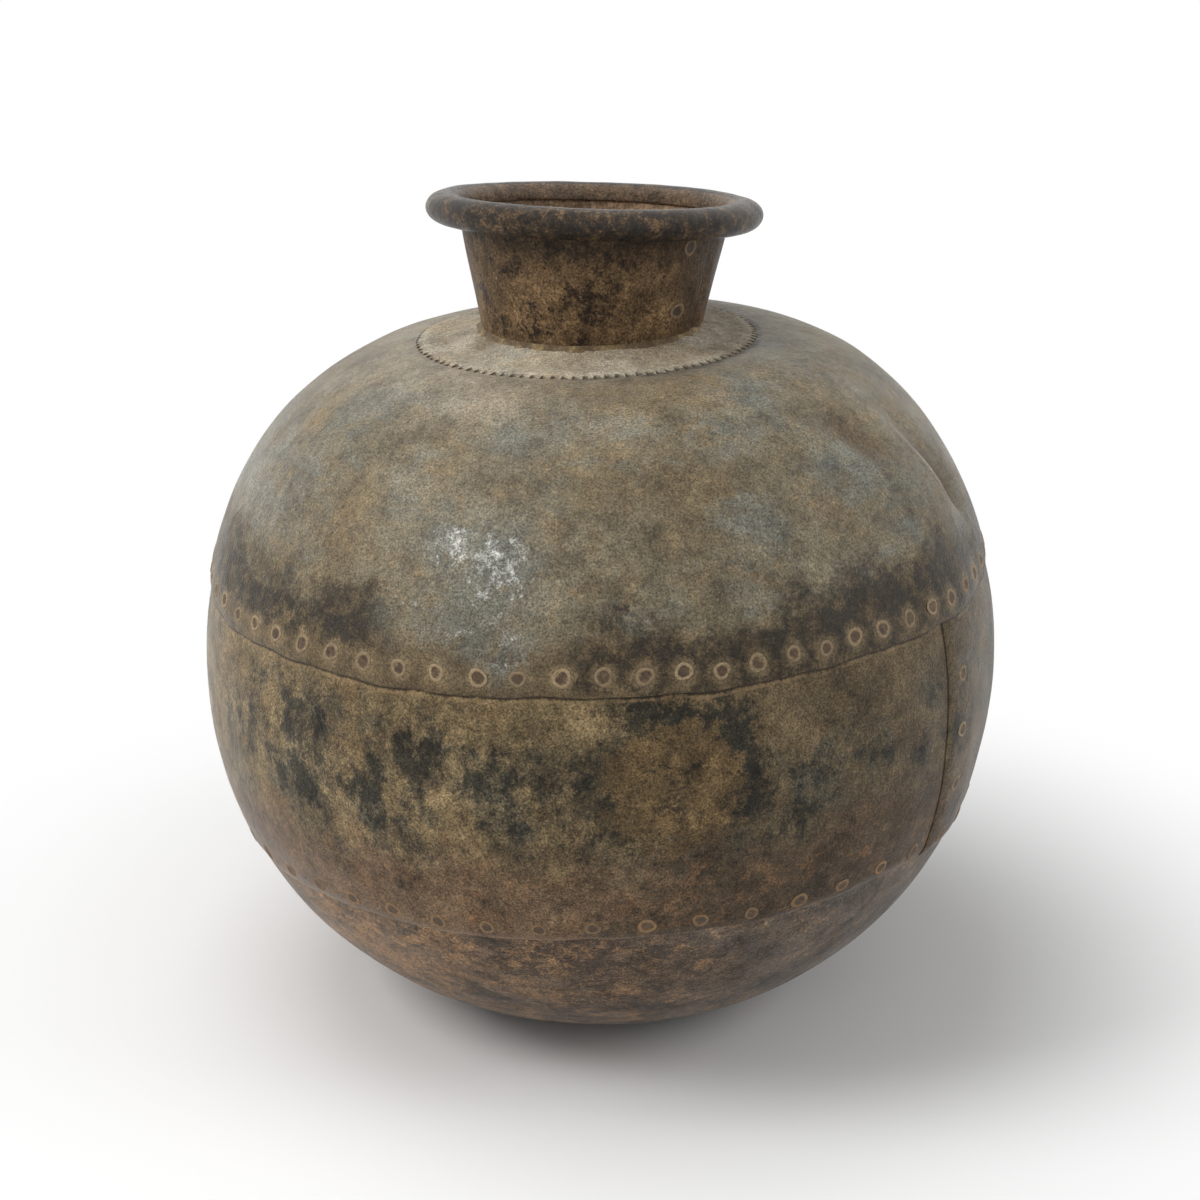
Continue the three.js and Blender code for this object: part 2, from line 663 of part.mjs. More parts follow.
function addRimBead() {
  const from = beadLowerEnd();
  const to = BEAD_INNER_END + FULL_TURN;
  const angles = [from, ...steps(from, to, BEAD_STEPS)];
  const outside = angles.map((angle) => beadPoint(angle, 0));
  const inside = angles.map((angle) => beadPoint(angle, SHEET)).reverse();
  const section = [...outside, ...inside, outside[0]];
  addPiece(neckGroup, 'rim_bead', revolved(section, NECK_PANELS, neckAzimuth(0)), RIM_IRON);
}

// Rod that the bead is rolled round, clear of the neck's top edge
function addRimHoop() {
  const radius = BEAD_HALF_HEIGHT - SHEET - HOOP_CLEARANCE;
  const middle = neckRadiusAt(BEAD_HEIGHT + NECK_TOP_IN_BEAD) + HOOP_CLEARANCE + radius;
  const rod = new THREE.EllipseCurve(middle, BEAD_HEIGHT, radius, radius);
  const section = rod.getPoints(HOOP_SIDES).map((point) => [point.x, point.y]);
  addPiece(neckGroup, 'rim_hoop', revolved(section, NECK_PANELS, neckAzimuth(0)), RIM_IRON);
}

addBottomPan();
addBelt();
addLowerRivets();
addDome();
addShoulderRing();
addNeckBraze();
addNeck();
addRimBead();
addRimHoop();

export default pot;
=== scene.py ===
"""Dressed model of a riveted sheet-iron water pot, in metres, +Z up, front towards -Y.

Azimuth is measured from the front in degrees, growing towards +X.
"""

import logging
import math
from dataclasses import dataclass, field
from enum import Enum
from functools import partial, reduce

import bpy
import numpy as np
from mathutils import Matrix, Vector, noise


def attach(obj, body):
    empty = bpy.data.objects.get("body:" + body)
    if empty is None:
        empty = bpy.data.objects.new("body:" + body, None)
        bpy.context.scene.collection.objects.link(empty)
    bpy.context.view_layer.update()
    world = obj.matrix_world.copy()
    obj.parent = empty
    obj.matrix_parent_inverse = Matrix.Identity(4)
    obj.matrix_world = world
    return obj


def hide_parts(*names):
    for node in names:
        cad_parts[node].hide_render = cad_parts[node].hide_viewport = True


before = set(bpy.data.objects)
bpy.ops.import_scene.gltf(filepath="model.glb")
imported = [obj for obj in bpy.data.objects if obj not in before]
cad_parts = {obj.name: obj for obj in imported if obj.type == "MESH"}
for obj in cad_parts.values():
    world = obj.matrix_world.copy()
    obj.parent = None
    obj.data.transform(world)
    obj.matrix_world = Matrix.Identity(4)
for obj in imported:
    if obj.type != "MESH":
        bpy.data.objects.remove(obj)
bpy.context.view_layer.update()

LOG = logging.getLogger("water_pot")
BODY = "root"
MERGE_DISTANCE = 1e-6
SEED_PLANE = 0.01
FULL_TURN = 2.0 * math.pi
SOFT_EDGE = math.radians(50.0)

Colour = tuple[float, float, float]
Place = tuple[float, float, float]
Range = tuple[float, float]
Pattern = tuple[float, float, float]
Array = np.ndarray
Piece = bpy.types.Object
Socket = bpy.types.NodeSocket
Material = bpy.types.Material


class Slot(Enum):
    """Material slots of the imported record."""

    DOME = "dome_iron"
    RING = "ring_iron"
    BELT = "belt_iron"
    PAN = "pan_iron"
    NECK = "neck_iron"
    RIM = "rim_iron"
    RIVET = "rivet_iron"
    BRAZE = "braze"


class Mark(Enum):
    """Values kept on the vertices for the finishes to read."""

    ABOVE_UPPER = "above_upper_seam"
    ABOVE_LOWER = "above_lower_seam"
    PAST_LAP = "past_lap"
    CROWN = "crown"
    TONE = "tone"
    # mask of painted shade in the ring's slits and on its teeth's wall
    SLIT = "slit"
    NEAR_RIVET = "near_rivet"
    # mask of painted shade in the creases' hollows
    HOLLOW = "hollow"
    INSIDE = "inside"
    # mask of painted highlight on the creases' lips
    LIP = "lip"


class Blend(Enum):
    """Ways of laying one colour over another."""

    COVER = "MIX"
    DARKEN = "MULTIPLY"


def smoothstep(value: Array, low: float | Array, high: float | Array) -> Array:
    """Eases numbers from 0 at low to 1 at high."""
    share = np.clip((value - low) / (high - low), 0.0, 1.0)
    return share * share * (3.0 - 2.0 * share)


def lerp(low: Array | float, high: Array | float, share: Array | float) -> Array | float:
    """Mixes two numbers by a share from 0 to 1."""
    return low + (high - low) * share


def around(radius: Array, azimuth: Array, height: Array) -> Array:
    """Turns radius, azimuth in degrees and height into points, as rows of x, y and z."""
    angle = np.radians(azimuth)
    return np.stack(np.broadcast_arrays(radius * np.sin(angle), -radius * np.cos(angle), height), axis=-1)


def half_turned(azimuth: Array) -> Array:
    """Brings angles in degrees to between -180 and 180."""
    return np.mod(azimuth + 180.0, 360.0) - 180.0


@dataclass(frozen=True)
class Waves:
    """Smooth unevenness: its height, its waves per metre and its place in the pattern."""

    height: float
    scale: float
    seed: float

    SHIFT_WAY = (1.0, 1.7, 0.6)

    def at(self, points: Array) -> Array:
        """Samples the waves at points."""
        shift = Vector([self.seed * part for part in self.SHIFT_WAY])
        return self.height * np.array([noise.noise(Vector(point) * self.scale + shift) for point in points])


class Bench:
    """Hand operations on a piece, through Blender's operators."""

    @staticmethod
    def take(piece: Piece) -> None:
        """Makes the piece the only selected one."""
        bpy.ops.object.select_all(action="DESELECT")
        piece.select_set(True)
        bpy.context.view_layer.objects.active = piece

    @staticmethod
    def named(name: str) -> Piece:
        """Names the piece that has just been added."""
        piece = bpy.context.object
        piece.name = name
        piece.data.name = name
        return piece

    @staticmethod
    def spun(name: str, profile: Array, columns: int) -> Piece:
        """Draws one vertex out along a profile and spins that line round the axis.

        Args:
            name: name of the piece.
            profile: rows of radius and height.
            columns: steps round the axis.

        Returns:
            The spun piece, as a skin without thickness.
        """
        bpy.ops.object.select_all(action="DESELECT")
        bpy.ops.mesh.primitive_plane_add(size=SEED_PLANE, location=(0.0, 0.0, 0.0))
        piece = Bench.named(name)
        bpy.ops.object.mode_set(mode="EDIT")
        bpy.ops.mesh.select_all(action="SELECT")
        bpy.ops.mesh.merge(type="CENTER")
        line = around(profile[:, 0], np.zeros(len(profile)), profile[:, 1])
        bpy.ops.transform.translate(value=tuple(line[0]))
        for step in np.diff(line, axis=0):
            bpy.ops.mesh.extrude_region_move(TRANSFORM_OT_translate={"value": tuple(step)})
        bpy.ops.mesh.select_all(action="SELECT")
        bpy.ops.mesh.spin(steps=columns, angle=FULL_TURN, center=(0.0, 0.0, 0.0), axis=(0.0, 0.0, 1.0))
        bpy.ops.mesh.select_all(action="SELECT")
        bpy.ops.mesh.remove_doubles(threshold=MERGE_DISTANCE)
        bpy.ops.object.mode_set(mode="OBJECT")
        return piece

    @staticmethod
    def flat_sheet(name: str, columns: int, rows: int) -> Piece:
        """Adds a flat sheet of one by one, ready to be bent."""
        bpy.ops.object.select_all(action="DESELECT")
        counts = {"x_subdivisions": columns, "y_subdivisions": rows}
        bpy.ops.mesh.primitive_grid_add(**counts, size=1.0, location=(0.0, 0.0, 0.0))
        return Bench.named(name)

    @staticmethod
    def points(piece: Piece) -> Array:
        """Reads the vertices of a piece as rows of x, y and z."""
        flat = np.zeros(len(piece.data.vertices) * 3)
        piece.data.vertices.foreach_get("co", flat)
        return flat.reshape(-1, 3)

    @staticmethod
    def round_points(piece: Piece) -> tuple[Array, Array, Array]:
        """Reads the vertices of a piece as points, distances from the axis and azimuths."""
        points = Bench.points(piece)
        azimuth = np.degrees(np.arctan2(points[:, 0], -points[:, 1]))
        return points, np.hypot(points[:, 0], points[:, 1]), azimuth

    @staticmethod
    def settle(piece: Piece, points: Array) -> None:
        """Moves the vertices of a piece to new points."""
        piece.data.vertices.foreach_set("co", points.ravel())
        piece.data.update()

    @staticmethod
    def mark(piece: Piece, mark: Mark, values: Array) -> None:
        """Keeps one number on each vertex, under the mark's name."""
        attribute = piece.data.attributes.new(mark.value, "FLOAT", "POINT")
        attribute.data.foreach_set("value", values.astype(np.float32))

    @staticmethod
    def face_out(piece: Piece) -> None:
        """Turns the faces of a piece outwards."""
        Bench.take(piece)
        bpy.ops.object.mode_set(mode="EDIT")
        bpy.ops.mesh.select_all(action="SELECT")
        bpy.ops.mesh.normals_make_consistent(inside=False)
        bpy.ops.object.mode_set(mode="OBJECT")

    @staticmethod
    def modify(piece: Piece, kind: str, **settings: object) -> None:
        """Adds a modifier, sets it and applies it."""
        Bench.take(piece)
        bpy.ops.object.modifier_add(type=kind)
        modifier = piece.modifiers[-1]
        for name, value in settings.items():
            setattr(modifier, name, value)
        bpy.ops.object.modifier_apply(modifier=modifier.name)

    @staticmethod
    def thicken(piece: Piece, thickness: float) -> None:
        """Gives a skin its thickness on the inner side."""
        Bench.modify(piece, "SOLIDIFY", thickness=thickness, offset=-1.0)

    @staticmethod
    def round_edges(piece: Piece, width: float) -> None:
        """Rounds the sharp edges of a piece."""
        Bench.modify(piece, "BEVEL", width=width, segments=2, limit_method="ANGLE", angle_limit=SOFT_EDGE)

    @staticmethod
    def smooth(piece: Piece) -> None:
        """Shades a piece smooth over its gentle edges."""
        Bench.take(piece)
        bpy.ops.object.shade_smooth_by_angle(angle=SOFT_EDGE)

    @staticmethod
    def dress(piece: Piece, material: Material) -> None:
        """Gives a piece its only material."""
        piece.data.materials.clear()
        piece.data.materials.append(material)

    @staticmethod
    def seat(piece: Piece, seat: Matrix, material: Material) -> None:
        """Shades a piece, sets it in its seat and dresses it."""
        Bench.smooth(piece)
        piece.data.transform(seat)
        Bench.dress(piece, material)

    @staticmethod
    def fit(piece: Piece, slot: Slot, *nodes: str) -> Piece:
        """Seats a finished piece in the frame.

        Args:
            piece: the finished piece.
            slot: material slot of the record that the piece belongs to; not used.
            nodes: solids that it stands for.

        Returns:
            The same piece.
        """
        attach(piece, BODY)
        if nodes:
            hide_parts(*nodes)
        return piece


class Paint:
    """Node graph of one finish, laid on coat by coat."""

    SHEEN_ROUGHNESS = 0.18
    PATTERN_MIDDLE = 0.5
    PATTERN_RANGE = (0.3, 0.7)
    SPOT_RANGE = (1.8, 0.2)
    GRIT_SCALE = 24.0
    GRIT_DETAIL = 6.5
    GRIT_ROUGH = 0.96
    GRAIN_DETAIL = 3.0
    GRAIN_ROUGH = 0.6
    GRAIN_DEPTH = 0.0003
    MIX_MASK, MIX_UNDER, MIX_OVER, MIX_RESULT = 0, 6, 7, 2

    def __init__(self, name: str, ground: Colour) -> None:
        """Starts a material with its shader, its place on the piece and its lowest coat."""
        self.material = bpy.data.materials.new(name)
        self.material.use_nodes = True
        self.nodes = self.material.node_tree.nodes
        self.links = self.material.node_tree.links
        self.shader = self.nodes["Principled BSDF"]
        self.here = self.nodes.new("ShaderNodeTexCoord").outputs["Object"]
        self.colour: Socket | Colour = ground
        self.normal: Socket | None = None

    def feed(self, socket: Socket, value: object) -> None:
        """Links a socket into an input, or sets the input's own value."""
        if isinstance(value, Socket):
            self.links.new(value, socket)
        elif socket.type == "RGBA":
            socket.default_value = (*value, 1.0)
        else:
            socket.default_value = value

    def node(self, kind: str, **inputs: object) -> bpy.types.Node:
        """Adds a node and feeds its inputs, whose names have underscores for spaces."""
        node = self.nodes.new(kind)
        for name, value in inputs.items():
            self.feed(node.inputs[name.replace("_", " ")], value)
        return node

    def math(self, operation: str, *values: object) -> Socket:
        """Adds one step of arithmetic."""
        step = self.nodes.new("ShaderNodeMath")
        step.operation = operation
        for socket, value in zip(step.inputs, values):
            self.feed(socket, value)
        return step.outputs[0]

    def noise(self, scale: float, detail: float, rough: float, shift: Place = (0.0, 0.0, 0.0),
              stretch: Place = (1.0, 1.0, 1.0)) -> Socket:
        """Adds a cloudy pattern.

        Args:
            scale: clouds per metre.
            detail: octaves of finer clouds.
            rough: weight of the finer clouds.
            shift: place in the pattern.
            stretch: scale along each axis.

        Returns:
            A value from 0 to 1, about 0.5 on the whole.
        """
        place = self.node("ShaderNodeMapping", Vector=self.here, Location=shift, Scale=stretch)
        octaves = {"Scale": scale, "Detail": detail, "Roughness": rough}
        cloud = self.node("ShaderNodeTexNoise", Vector=place.outputs["Vector"], **octaves)
        return cloud.outputs["Fac"]

    def fade(self, value: Socket, start: float, end: float, top: float = 1.0) -> Socket:
        """Eases a value from 0 at start to the top value at end."""
        step = self.node("ShaderNodeMapRange", Value=value, From_Min=start, From_Max=end, To_Max=top)
        step.interpolation_type = "SMOOTHSTEP"
        return step.outputs["Result"]

    def shifted(self, value: Socket, other: Socket, share: float) -> Socket:
        """Adds a share of one value to another."""
        return self.math("MULTIPLY_ADD", other, share, value)

    def sum(self, value: Socket, pattern: Socket, share: float) -> Socket:
        """Adds a share of a cloudy pattern, centred on zero, to a value."""
        return self.shifted(value, self.math("SUBTRACT", pattern, self.PATTERN_MIDDLE), share)

    def between(self, pattern: Socket, low: float, high: float) -> Socket:
        """Spreads a cloudy pattern from a low number to a high one."""
        start, end = self.PATTERN_RANGE
        ends = {"From_Min": start, "From_Max": end, "To_Min": low, "To_Max": high}
        return self.node("ShaderNodeMapRange", Value=pattern, **ends).outputs["Result"]

    def both(self, *masks: Socket) -> Socket:
        """Multiplies masks."""
        return reduce(partial(self.math, "MULTIPLY"), masks)

    def either(self, *masks: Socket) -> Socket:
        """Takes the strongest of some masks."""
        return reduce(partial(self.math, "MAXIMUM"), masks)

    def without(self, mask: Socket) -> Socket:
        """Turns a mask round."""
        return self.math("SUBTRACT", 1.0, mask)

    def mixed(self, mask: Socket | float, under: object, over: object, blend: Blend = Blend.COVER) -> Socket:
        """Mixes two colours.

        Args:
            mask: where the upper colour lies, from 0 to 1.
            under: colour below.
            over: colour above.
            blend: how the upper colour lies.

        Returns:
            The mixed colour.
        """
        mixer = self.nodes.new("ShaderNodeMix")
        mixer.data_type = "RGBA"
        mixer.blend_type = blend.value
        self.feed(mixer.inputs[self.MIX_MASK], mask)
        self.feed(mixer.inputs[self.MIX_UNDER], under)
        self.feed(mixer.inputs[self.MIX_OVER], over)
        return mixer.outputs[self.MIX_RESULT]

    def cover(self, over: object, *masks: Socket) -> None:
        """Lays a coat where all the masks are."""
        self.colour = self.mixed(self.both(*masks), self.colour, over)

    def lay(self, over: object, value: Socket, start: float, end: float, top: float = 1.0) -> None:
        """Lays a coat that grows from nothing at start to the top share at end."""
        self.cover(over, self.fade(value, start, end, top))

    def vary(self, pattern: Socket, low: float, high: float) -> None:
        """Multiplies the colour by a cloudy pattern, spread from low to high."""
        self.colour = self.mixed(1.0, self.colour, self.between(pattern, low, high), Blend.DARKEN)

    def grain(self, scale: float, strength: float) -> Socket:
        """Varies the colour from grain to grain and gives the grains' pattern."""
        grains = self.noise(scale, self.GRAIN_DETAIL, self.GRAIN_ROUGH)
        self.vary(grains, 1.0 - strength, 1.0 + strength)
        return grains

    def grit(self, strength: float, shift: Place = (0.0, 0.0, 0.0)) -> None:
        """Mottles the colour at every size, from a few fingers' breadth down to a grain."""
        mottle = self.noise(self.GRIT_SCALE, self.GRIT_DETAIL, self.GRIT_ROUGH, shift)
        self.vary(mottle, 1.0 - strength, 1.0 + strength)

    def weather(self, wear: "Wear") -> None:
        """Lays grains and grit on the colour, and dents, pits and grains on the face."""
        grains = self.grain(wear.grain_scale, wear.grain)
        self.grit(wear.grit, wear.shift)
        self.relief(self.noise(*wear.dents), wear.dent_depth)
        self.relief(self.noise(*wear.pits, wear.shift), wear.pit_depth)
        self.relief(grains, self.GRAIN_DEPTH)

    def distance(self, centre: Place) -> Socket:
        """Gives the distance from a place on the piece."""
        span = self.nodes.new("ShaderNodeVectorMath")
        span.operation = "DISTANCE"
        self.feed(span.inputs[0], self.here)
        self.feed(span.inputs[1], centre)
        return span.outputs["Value"]

    def near(self, spot: "Spot", shape: "PotShape") -> Socket:
        """Gives a spot's strength in its middle, fading to 0 round it."""
        outer, inner = (spot.reach * share for share in self.SPOT_RANGE)
        return self.fade(self.distance(spot.centre(shape)), outer, inner, spot.strength)

    def nearest(self, spots: "tuple[Spot, ...]", shape: "PotShape") -> Socket:
        """Gives the strength of the strongest of some spots."""
        return self.either(*[self.near(spot, shape) for spot in spots])

    def hoop(self, centre: Place, inner: Range, outer: Range, top: float) -> Socket:
        """Gives a ring-shaped mask.

        Args:
            centre: middle of the ring.
            inner: distances over which the ring comes in.
            outer: distances over which it goes out, the larger one first.
            top: strength of the ring.

        Returns:
            The mask.
        """
        off = self.distance(centre)
        return self.both(self.fade(off, *inner), self.fade(off, *outer, top))

    def along(self, axis: str) -> Socket:
        """Gives the place along one axis: X, Y or Z."""
        return self.node("ShaderNodeSeparateXYZ", Vector=self.here).outputs[axis]

    def kept(self, mark: Mark) -> Socket:
        """Reads a value kept on the vertices."""
        reader = self.nodes.new("ShaderNodeAttribute")
        reader.attribute_name = mark.value
        return reader.outputs["Fac"]

    def relief(self, height: Socket, depth: float) -> None:
        """Adds a relief of a depth in metres to those below it."""
        bump = self.node("ShaderNodeBump", Strength=1.0, Distance=depth, Height=height)
        if self.normal is not None:
            self.feed(bump.inputs["Normal"], self.normal)
        self.normal = bump.outputs["Normal"]

    def done(self, roughness: object, specular: float, sheen: float = 0.0) -> Material:
        """Joins the coats and the relief to the shader.

        Args:
            roughness: a number or a value that varies.
            specular: level of the mirrored light.
            sheen: share of pale dust, which shows where the face turns away.

        Returns:
            The finished material.
        """
        settings = {
            "Base Color": self.colour,
            "Roughness": roughness,
            "Specular IOR Level": specular,
            "Sheen Weight": sheen,
            "Sheen Roughness": self.SHEEN_ROUGHNESS,
        }
        if self.normal is not None:
            settings["Normal"] = self.normal
        for name, value in settings.items():
            self.feed(self.shader.inputs[name], value)
        return self.material


@dataclass(frozen=True)
class Wear:
    """Unevenness of a finish. A pattern is given by its scale, detail and roughness."""

    dents: Pattern
    dent_depth: float
    pits: Pattern
    pit_depth: float
    grain_scale: float
    grain: float
    grit: float
    shift: Place = (0.0, 0.0, 0.0)


@dataclass(frozen=True)
class Crease:
    """Dent along a line on the dome, steep on its lower side and easy on its upper one."""

    start: Place
    end: Place
    depth: float
    steep: float
    easy: float
    lip: float

    START_SHARE = 0.35
    LIP_OFFSET = 1.6
    LIP_WIDTH = 0.7
    FULL_LIP = 0.001

    def shares(self, points: Array) -> tuple[Array, Array]:
        """Gives how far each point lies in the hollow and on its lip.

        Args:
            points: rows of x, y and z on the dome.

        Returns:
            The shares of the hollow and of the lip, from 0 to 1.
        """
        start = np.array(self.start)
        line = np.array(self.end) - start
        length = np.linalg.norm(line)
        share = np.clip((points - start) @ line / length**2, 0.0, 1.0)
        middle = np.array((0.0, 0.0, self.start[2] / 2.0))
        out = points - middle
        out /= np.linalg.norm(out, axis=1, keepdims=True)
        side = np.cross(out, line / length)
        off = points - (start + share[:, None] * line)
        across = np.sum(off * side, axis=1)
        beyond = np.sqrt(np.maximum(np.sum(off * off, axis=1) - across**2, 0.0))
        width = np.where(across > 0.0, self.easy, self.steep)
        hollow = np.exp(-((across / width) ** 2) - (beyond / self.easy) ** 2)
        off_lip = (across + self.LIP_OFFSET * self.steep) / (self.LIP_WIDTH * self.steep)
        ridge = np.exp(-(off_lip**2) - (beyond / self.steep) ** 2)
        ridge *= 4.0 * share * (1.0 - share)
        return lerp(self.START_SHARE, 1.0, share) * hollow, ridge * self.lip / self.FULL_LIP

    def push(self, points: Array) -> Array:
        """Gives how far each point moves outwards, which is mostly inwards."""
        hollow, ridge = self.shares(points)
        return self.FULL_LIP * ridge - self.depth * hollow


@dataclass(frozen=True)
class PotShape:
    """Shape of the riveted body, shared by its plates and rivets."""

    belly_radius: float = 0.2257
    belly_height: float = 0.197
    foot_radius: float = 0.050
    land_radius: float = 0.098
    land_height: float = 0.381
    foot_swell: float = 0.094
    belly_swell_below: float = 0.115
    belly_swell_above: float = 0.103
    land_swell: float = 0.065
    land_drop: float = 0.0046
    mouth_radius: float = 0.078
    ring_shift: float = -0.0073
    land_tilt: float = 1.5
    sheet: float = 0.0016
    lap_gap: float = 0.0003
    lower_seam_height: float = 0.1125
    lower_seam_rise: float = 0.0095
    lower_lap: float = 0.018
    upper_seam_height: float = 0.2505
    upper_seam_rise: float = 0.007
    upper_lap: float = 0.020
    seam_wobble: float = 0.0005
    seam_waves: tuple[tuple[int, float], ...] = ((9, 1.0), (23, 0.7), (41, 0.6))
    right_lap: Range = (55.25, 62.75)
    left_lap: Range = (235.25, 242.75)
    lap_ramp: float = 7.5
    hammer: tuple[Waves, ...] = (Waves(0.0011, 13.0, 4.0), Waves(0.0004, 38.0, 9.0))
    calm_foot: Range = (0.05, 0.30)
    calm_land: Range = (1.70, 1.95)
    edge_round: float = 0.0004

    AT_AXIS = -1.0
    AT_FOOT = 0.0
    AT_BELLY = 1.0
    AT_LAND = 2.0
    BELT_LAYER = 1
    DOME_LAYER = 2
    PLACE_STEPS = 4000
    LOWER_SEED = 1.0
    UPPER_SEED = 2.3

    @property
    def lap_step(self) -> float:
        """Distance between the faces of two lapped plates."""
        return self.sheet + self.lap_gap

    @property
    def land_grade(self) -> float:
        """Slope of the dome's land, which is higher at the right."""
        return math.tan(math.radians(self.land_tilt))

    def curves(self) -> tuple[Array, Array]:
        """Gives the control points of the outline below and above the belly, as radius and height."""
        radius = self.belly_radius - self.lap_step
        land = self.land_height - 2.0 * self.lap_step
        lower = np.array([
            (self.foot_radius, 0.0),
            (self.foot_radius + self.foot_swell, 0.0),
            (radius, self.belly_height - self.belly_swell_below),
            (radius, self.belly_height),
        ])
        upper = np.array([
            (radius, self.belly_height),
            (radius, self.belly_height + self.belly_swell_above),
            (self.land_radius + self.land_swell, land - self.land_drop),
            (self.land_radius, land),
        ])
        return lower, upper

    @staticmethod
    def along_curve(curve: Array, share: Array) -> tuple[Array, Array]:
        """Gives points and directions along a cubic curve.

        Args:
            curve: four control points.
            share: places along it, from 0 to 1.

        Returns:
            The points and the unit directions.
        """
        t = share[:, None]
        s = 1.0 - t
        point = s**3 * curve[0] + 3 * s * s * t * curve[1] + 3 * s * t * t * curve[2] + t**3 * curve[3]
        leg = np.diff(curve, axis=0)
        way = s * s * leg[0] + 2 * s * t * leg[1] + t * t * leg[2]
        return point, way / np.linalg.norm(way, axis=1, keepdims=True)

    def outline(self, place: Array) -> tuple[Array, Array]:
        """Gives the innermost plate's outline and the direction out of it.

        Args:
            place: places along the outline, from the axis to the mouth.

        Returns:
            Points and outward directions, as rows of radius and height.
        """
        lower, upper = self.curves()
        low_point, low_way = self.along_curve(lower, np.clip(place, self.AT_FOOT, self.AT_BELLY))
        high_share = np.clip(place, self.AT_BELLY, self.AT_LAND) - self.AT_BELLY
        high_point, high_way = self.along_curve(upper, high_share)
        below = (place < self.AT_BELLY)[:, None]
        point = np.where(below, low_point, high_point)
        way = np.where(below, low_way, high_way)
        out = np.stack([way[:, 1], -way[:, 0]], axis=1)
        foot = place < self.AT_FOOT
        point[foot, 0] = self.foot_radius * (place[foot] - self.AT_AXIS)
        land = place > self.AT_LAND
        point[land, 0] = lerp(self.land_radius, self.mouth_radius, place[land] - self.AT_LAND)
        out[foot] = (0.0, -1.0)
        out[land] = (0.0, 1.0)
        return point, out

    def place_at(self, height: Array) -> Array:
        """Finds the place on the outline that lies at a height."""
        places = np.linspace(self.AT_FOOT, self.AT_LAND, self.PLACE_STEPS)
        return np.interp(height, self.outline(places)[0][:, 1], places)

    def wobble(self, azimuth: Array, seed: float) -> Array:
        """Gives how a hand-cut edge wavers round the pot."""
        angle = np.radians(azimuth)
        waver = 0.0
        for order, (count, share) in enumerate(self.seam_waves, start=1):
            waver += share * np.sin(count * angle + order * seed)
        return self.seam_wobble * waver

    def lower_edge(self, azimuth: Array) -> Array:
        """Gives the height of the belt's lower edge."""
        rise = self.lower_seam_rise * np.sin(np.radians(azimuth))
        return self.lower_seam_height + rise + self.wobble(azimuth, self.LOWER_SEED)

    def upper_edge(self, azimuth: Array) -> Array:
        """Gives the height of the dome's lower edge."""
        rise = self.upper_seam_rise * np.sin(np.radians(azimuth))
        return self.upper_seam_height + rise + self.wobble(azimuth, self.UPPER_SEED)

    def lift(self, azimuth: Array) -> Array:
        """Gives how far a plate is lifted where the belt's ends lap."""
        turned = np.mod(azimuth, 360.0)
        lifted = np.zeros_like(turned)
        for start, end in (self.right_lap, self.left_lap):
            ways = (start - self.lap_ramp, start, end, end + self.lap_ramp)
            lifted = np.maximum(lifted, np.interp(turned, ways, (0.0, 1.0, 1.0, 0.0)))
        return lifted * self.lap_step

    def hammered(self, place: Array, azimuth: Array) -> Array:
        """Gives the unevenness of the hand-beaten body, the same for plates that lie on each other."""
        point, _ = self.outline(place)
        spots = around(point[:, 0], azimuth, point[:, 1])
        calm = smoothstep(place, *self.calm_foot) * (1.0 - smoothstep(place, *self.calm_land))
        return calm * sum(waves.at(spots) for waves in self.hammer)

    def skin(self, place: Array, azimuth: Array, offset: Array,
             tilt_share: Array | float = 0.0) -> Array:
        """Gives points on a skin of the body.

        Args:
            place: places along the outline.
            azimuth: angles from the front.
            offset: distances outside the outline.
            tilt_share: share of the land's tilt.

        Returns:
            Points as rows of x, y and z.
        """
        point, out = self.outline(place)
        spots = around(point[:, 0] + out[:, 0] * offset, azimuth, point[:, 1] + out[:, 1] * offset)
        spots[:, 0] += self.ring_shift * np.clip(place - self.AT_LAND, 0.0, 1.0)
        spots[:, 2] += spots[:, 0] * self.land_grade * tilt_share
        return spots

    def seat(self, azimuth: float, height: float, layer: int) -> Matrix:
        """Gives the frame of a rivet on an outer face, with Z out of the sheet.

        Args:
            azimuth: angle from the front.
            height: height on the outline.
            layer: plate's place in the laps, from 0 for the pan.

        Returns:
            The frame as a matrix.
        """
        turn = np.array([azimuth])
        place = self.place_at(np.array([height]))
        offset = layer * self.lap_step + self.lift(turn) + self.hammered(place, turn)
        spot = self.skin(place, turn, offset)[0]
        _, out = self.outline(place)
        normal = Vector(around(out[:, 0], turn, out[:, 1])[0])
        return Matrix.Translation(Vector(spot)) @ normal.to_track_quat("Z", "Y").to_matrix().to_4x4()

    def top_frame(self) -> Matrix:
        """Gives the frame of the shoulder ring, with zero height on the land."""
        height = self.land_height + self.ring_shift * self.land_grade
        tilt = Matrix.Rotation(-math.radians(self.land_tilt), 4, "Y")
        return Matrix.Translation((self.ring_shift, 0.0, height)) @ tilt


@dataclass(frozen=True)
class Spot:
    """Place and reach of a mark on the body's outside."""

    azimuth: float
    height: float
    reach: float
    strength: float = 1.0

    def centre(self, shape: PotShape) -> Place:
        """Gives the mark's middle as a point."""
        point, _ = shape.outline(shape.place_at(np.array([self.height])))
        spot = around(point[0, 0] + shape.lap_step, np.array(self.azimuth), np.array(self.height))
        return tuple(float(part) for part in spot)


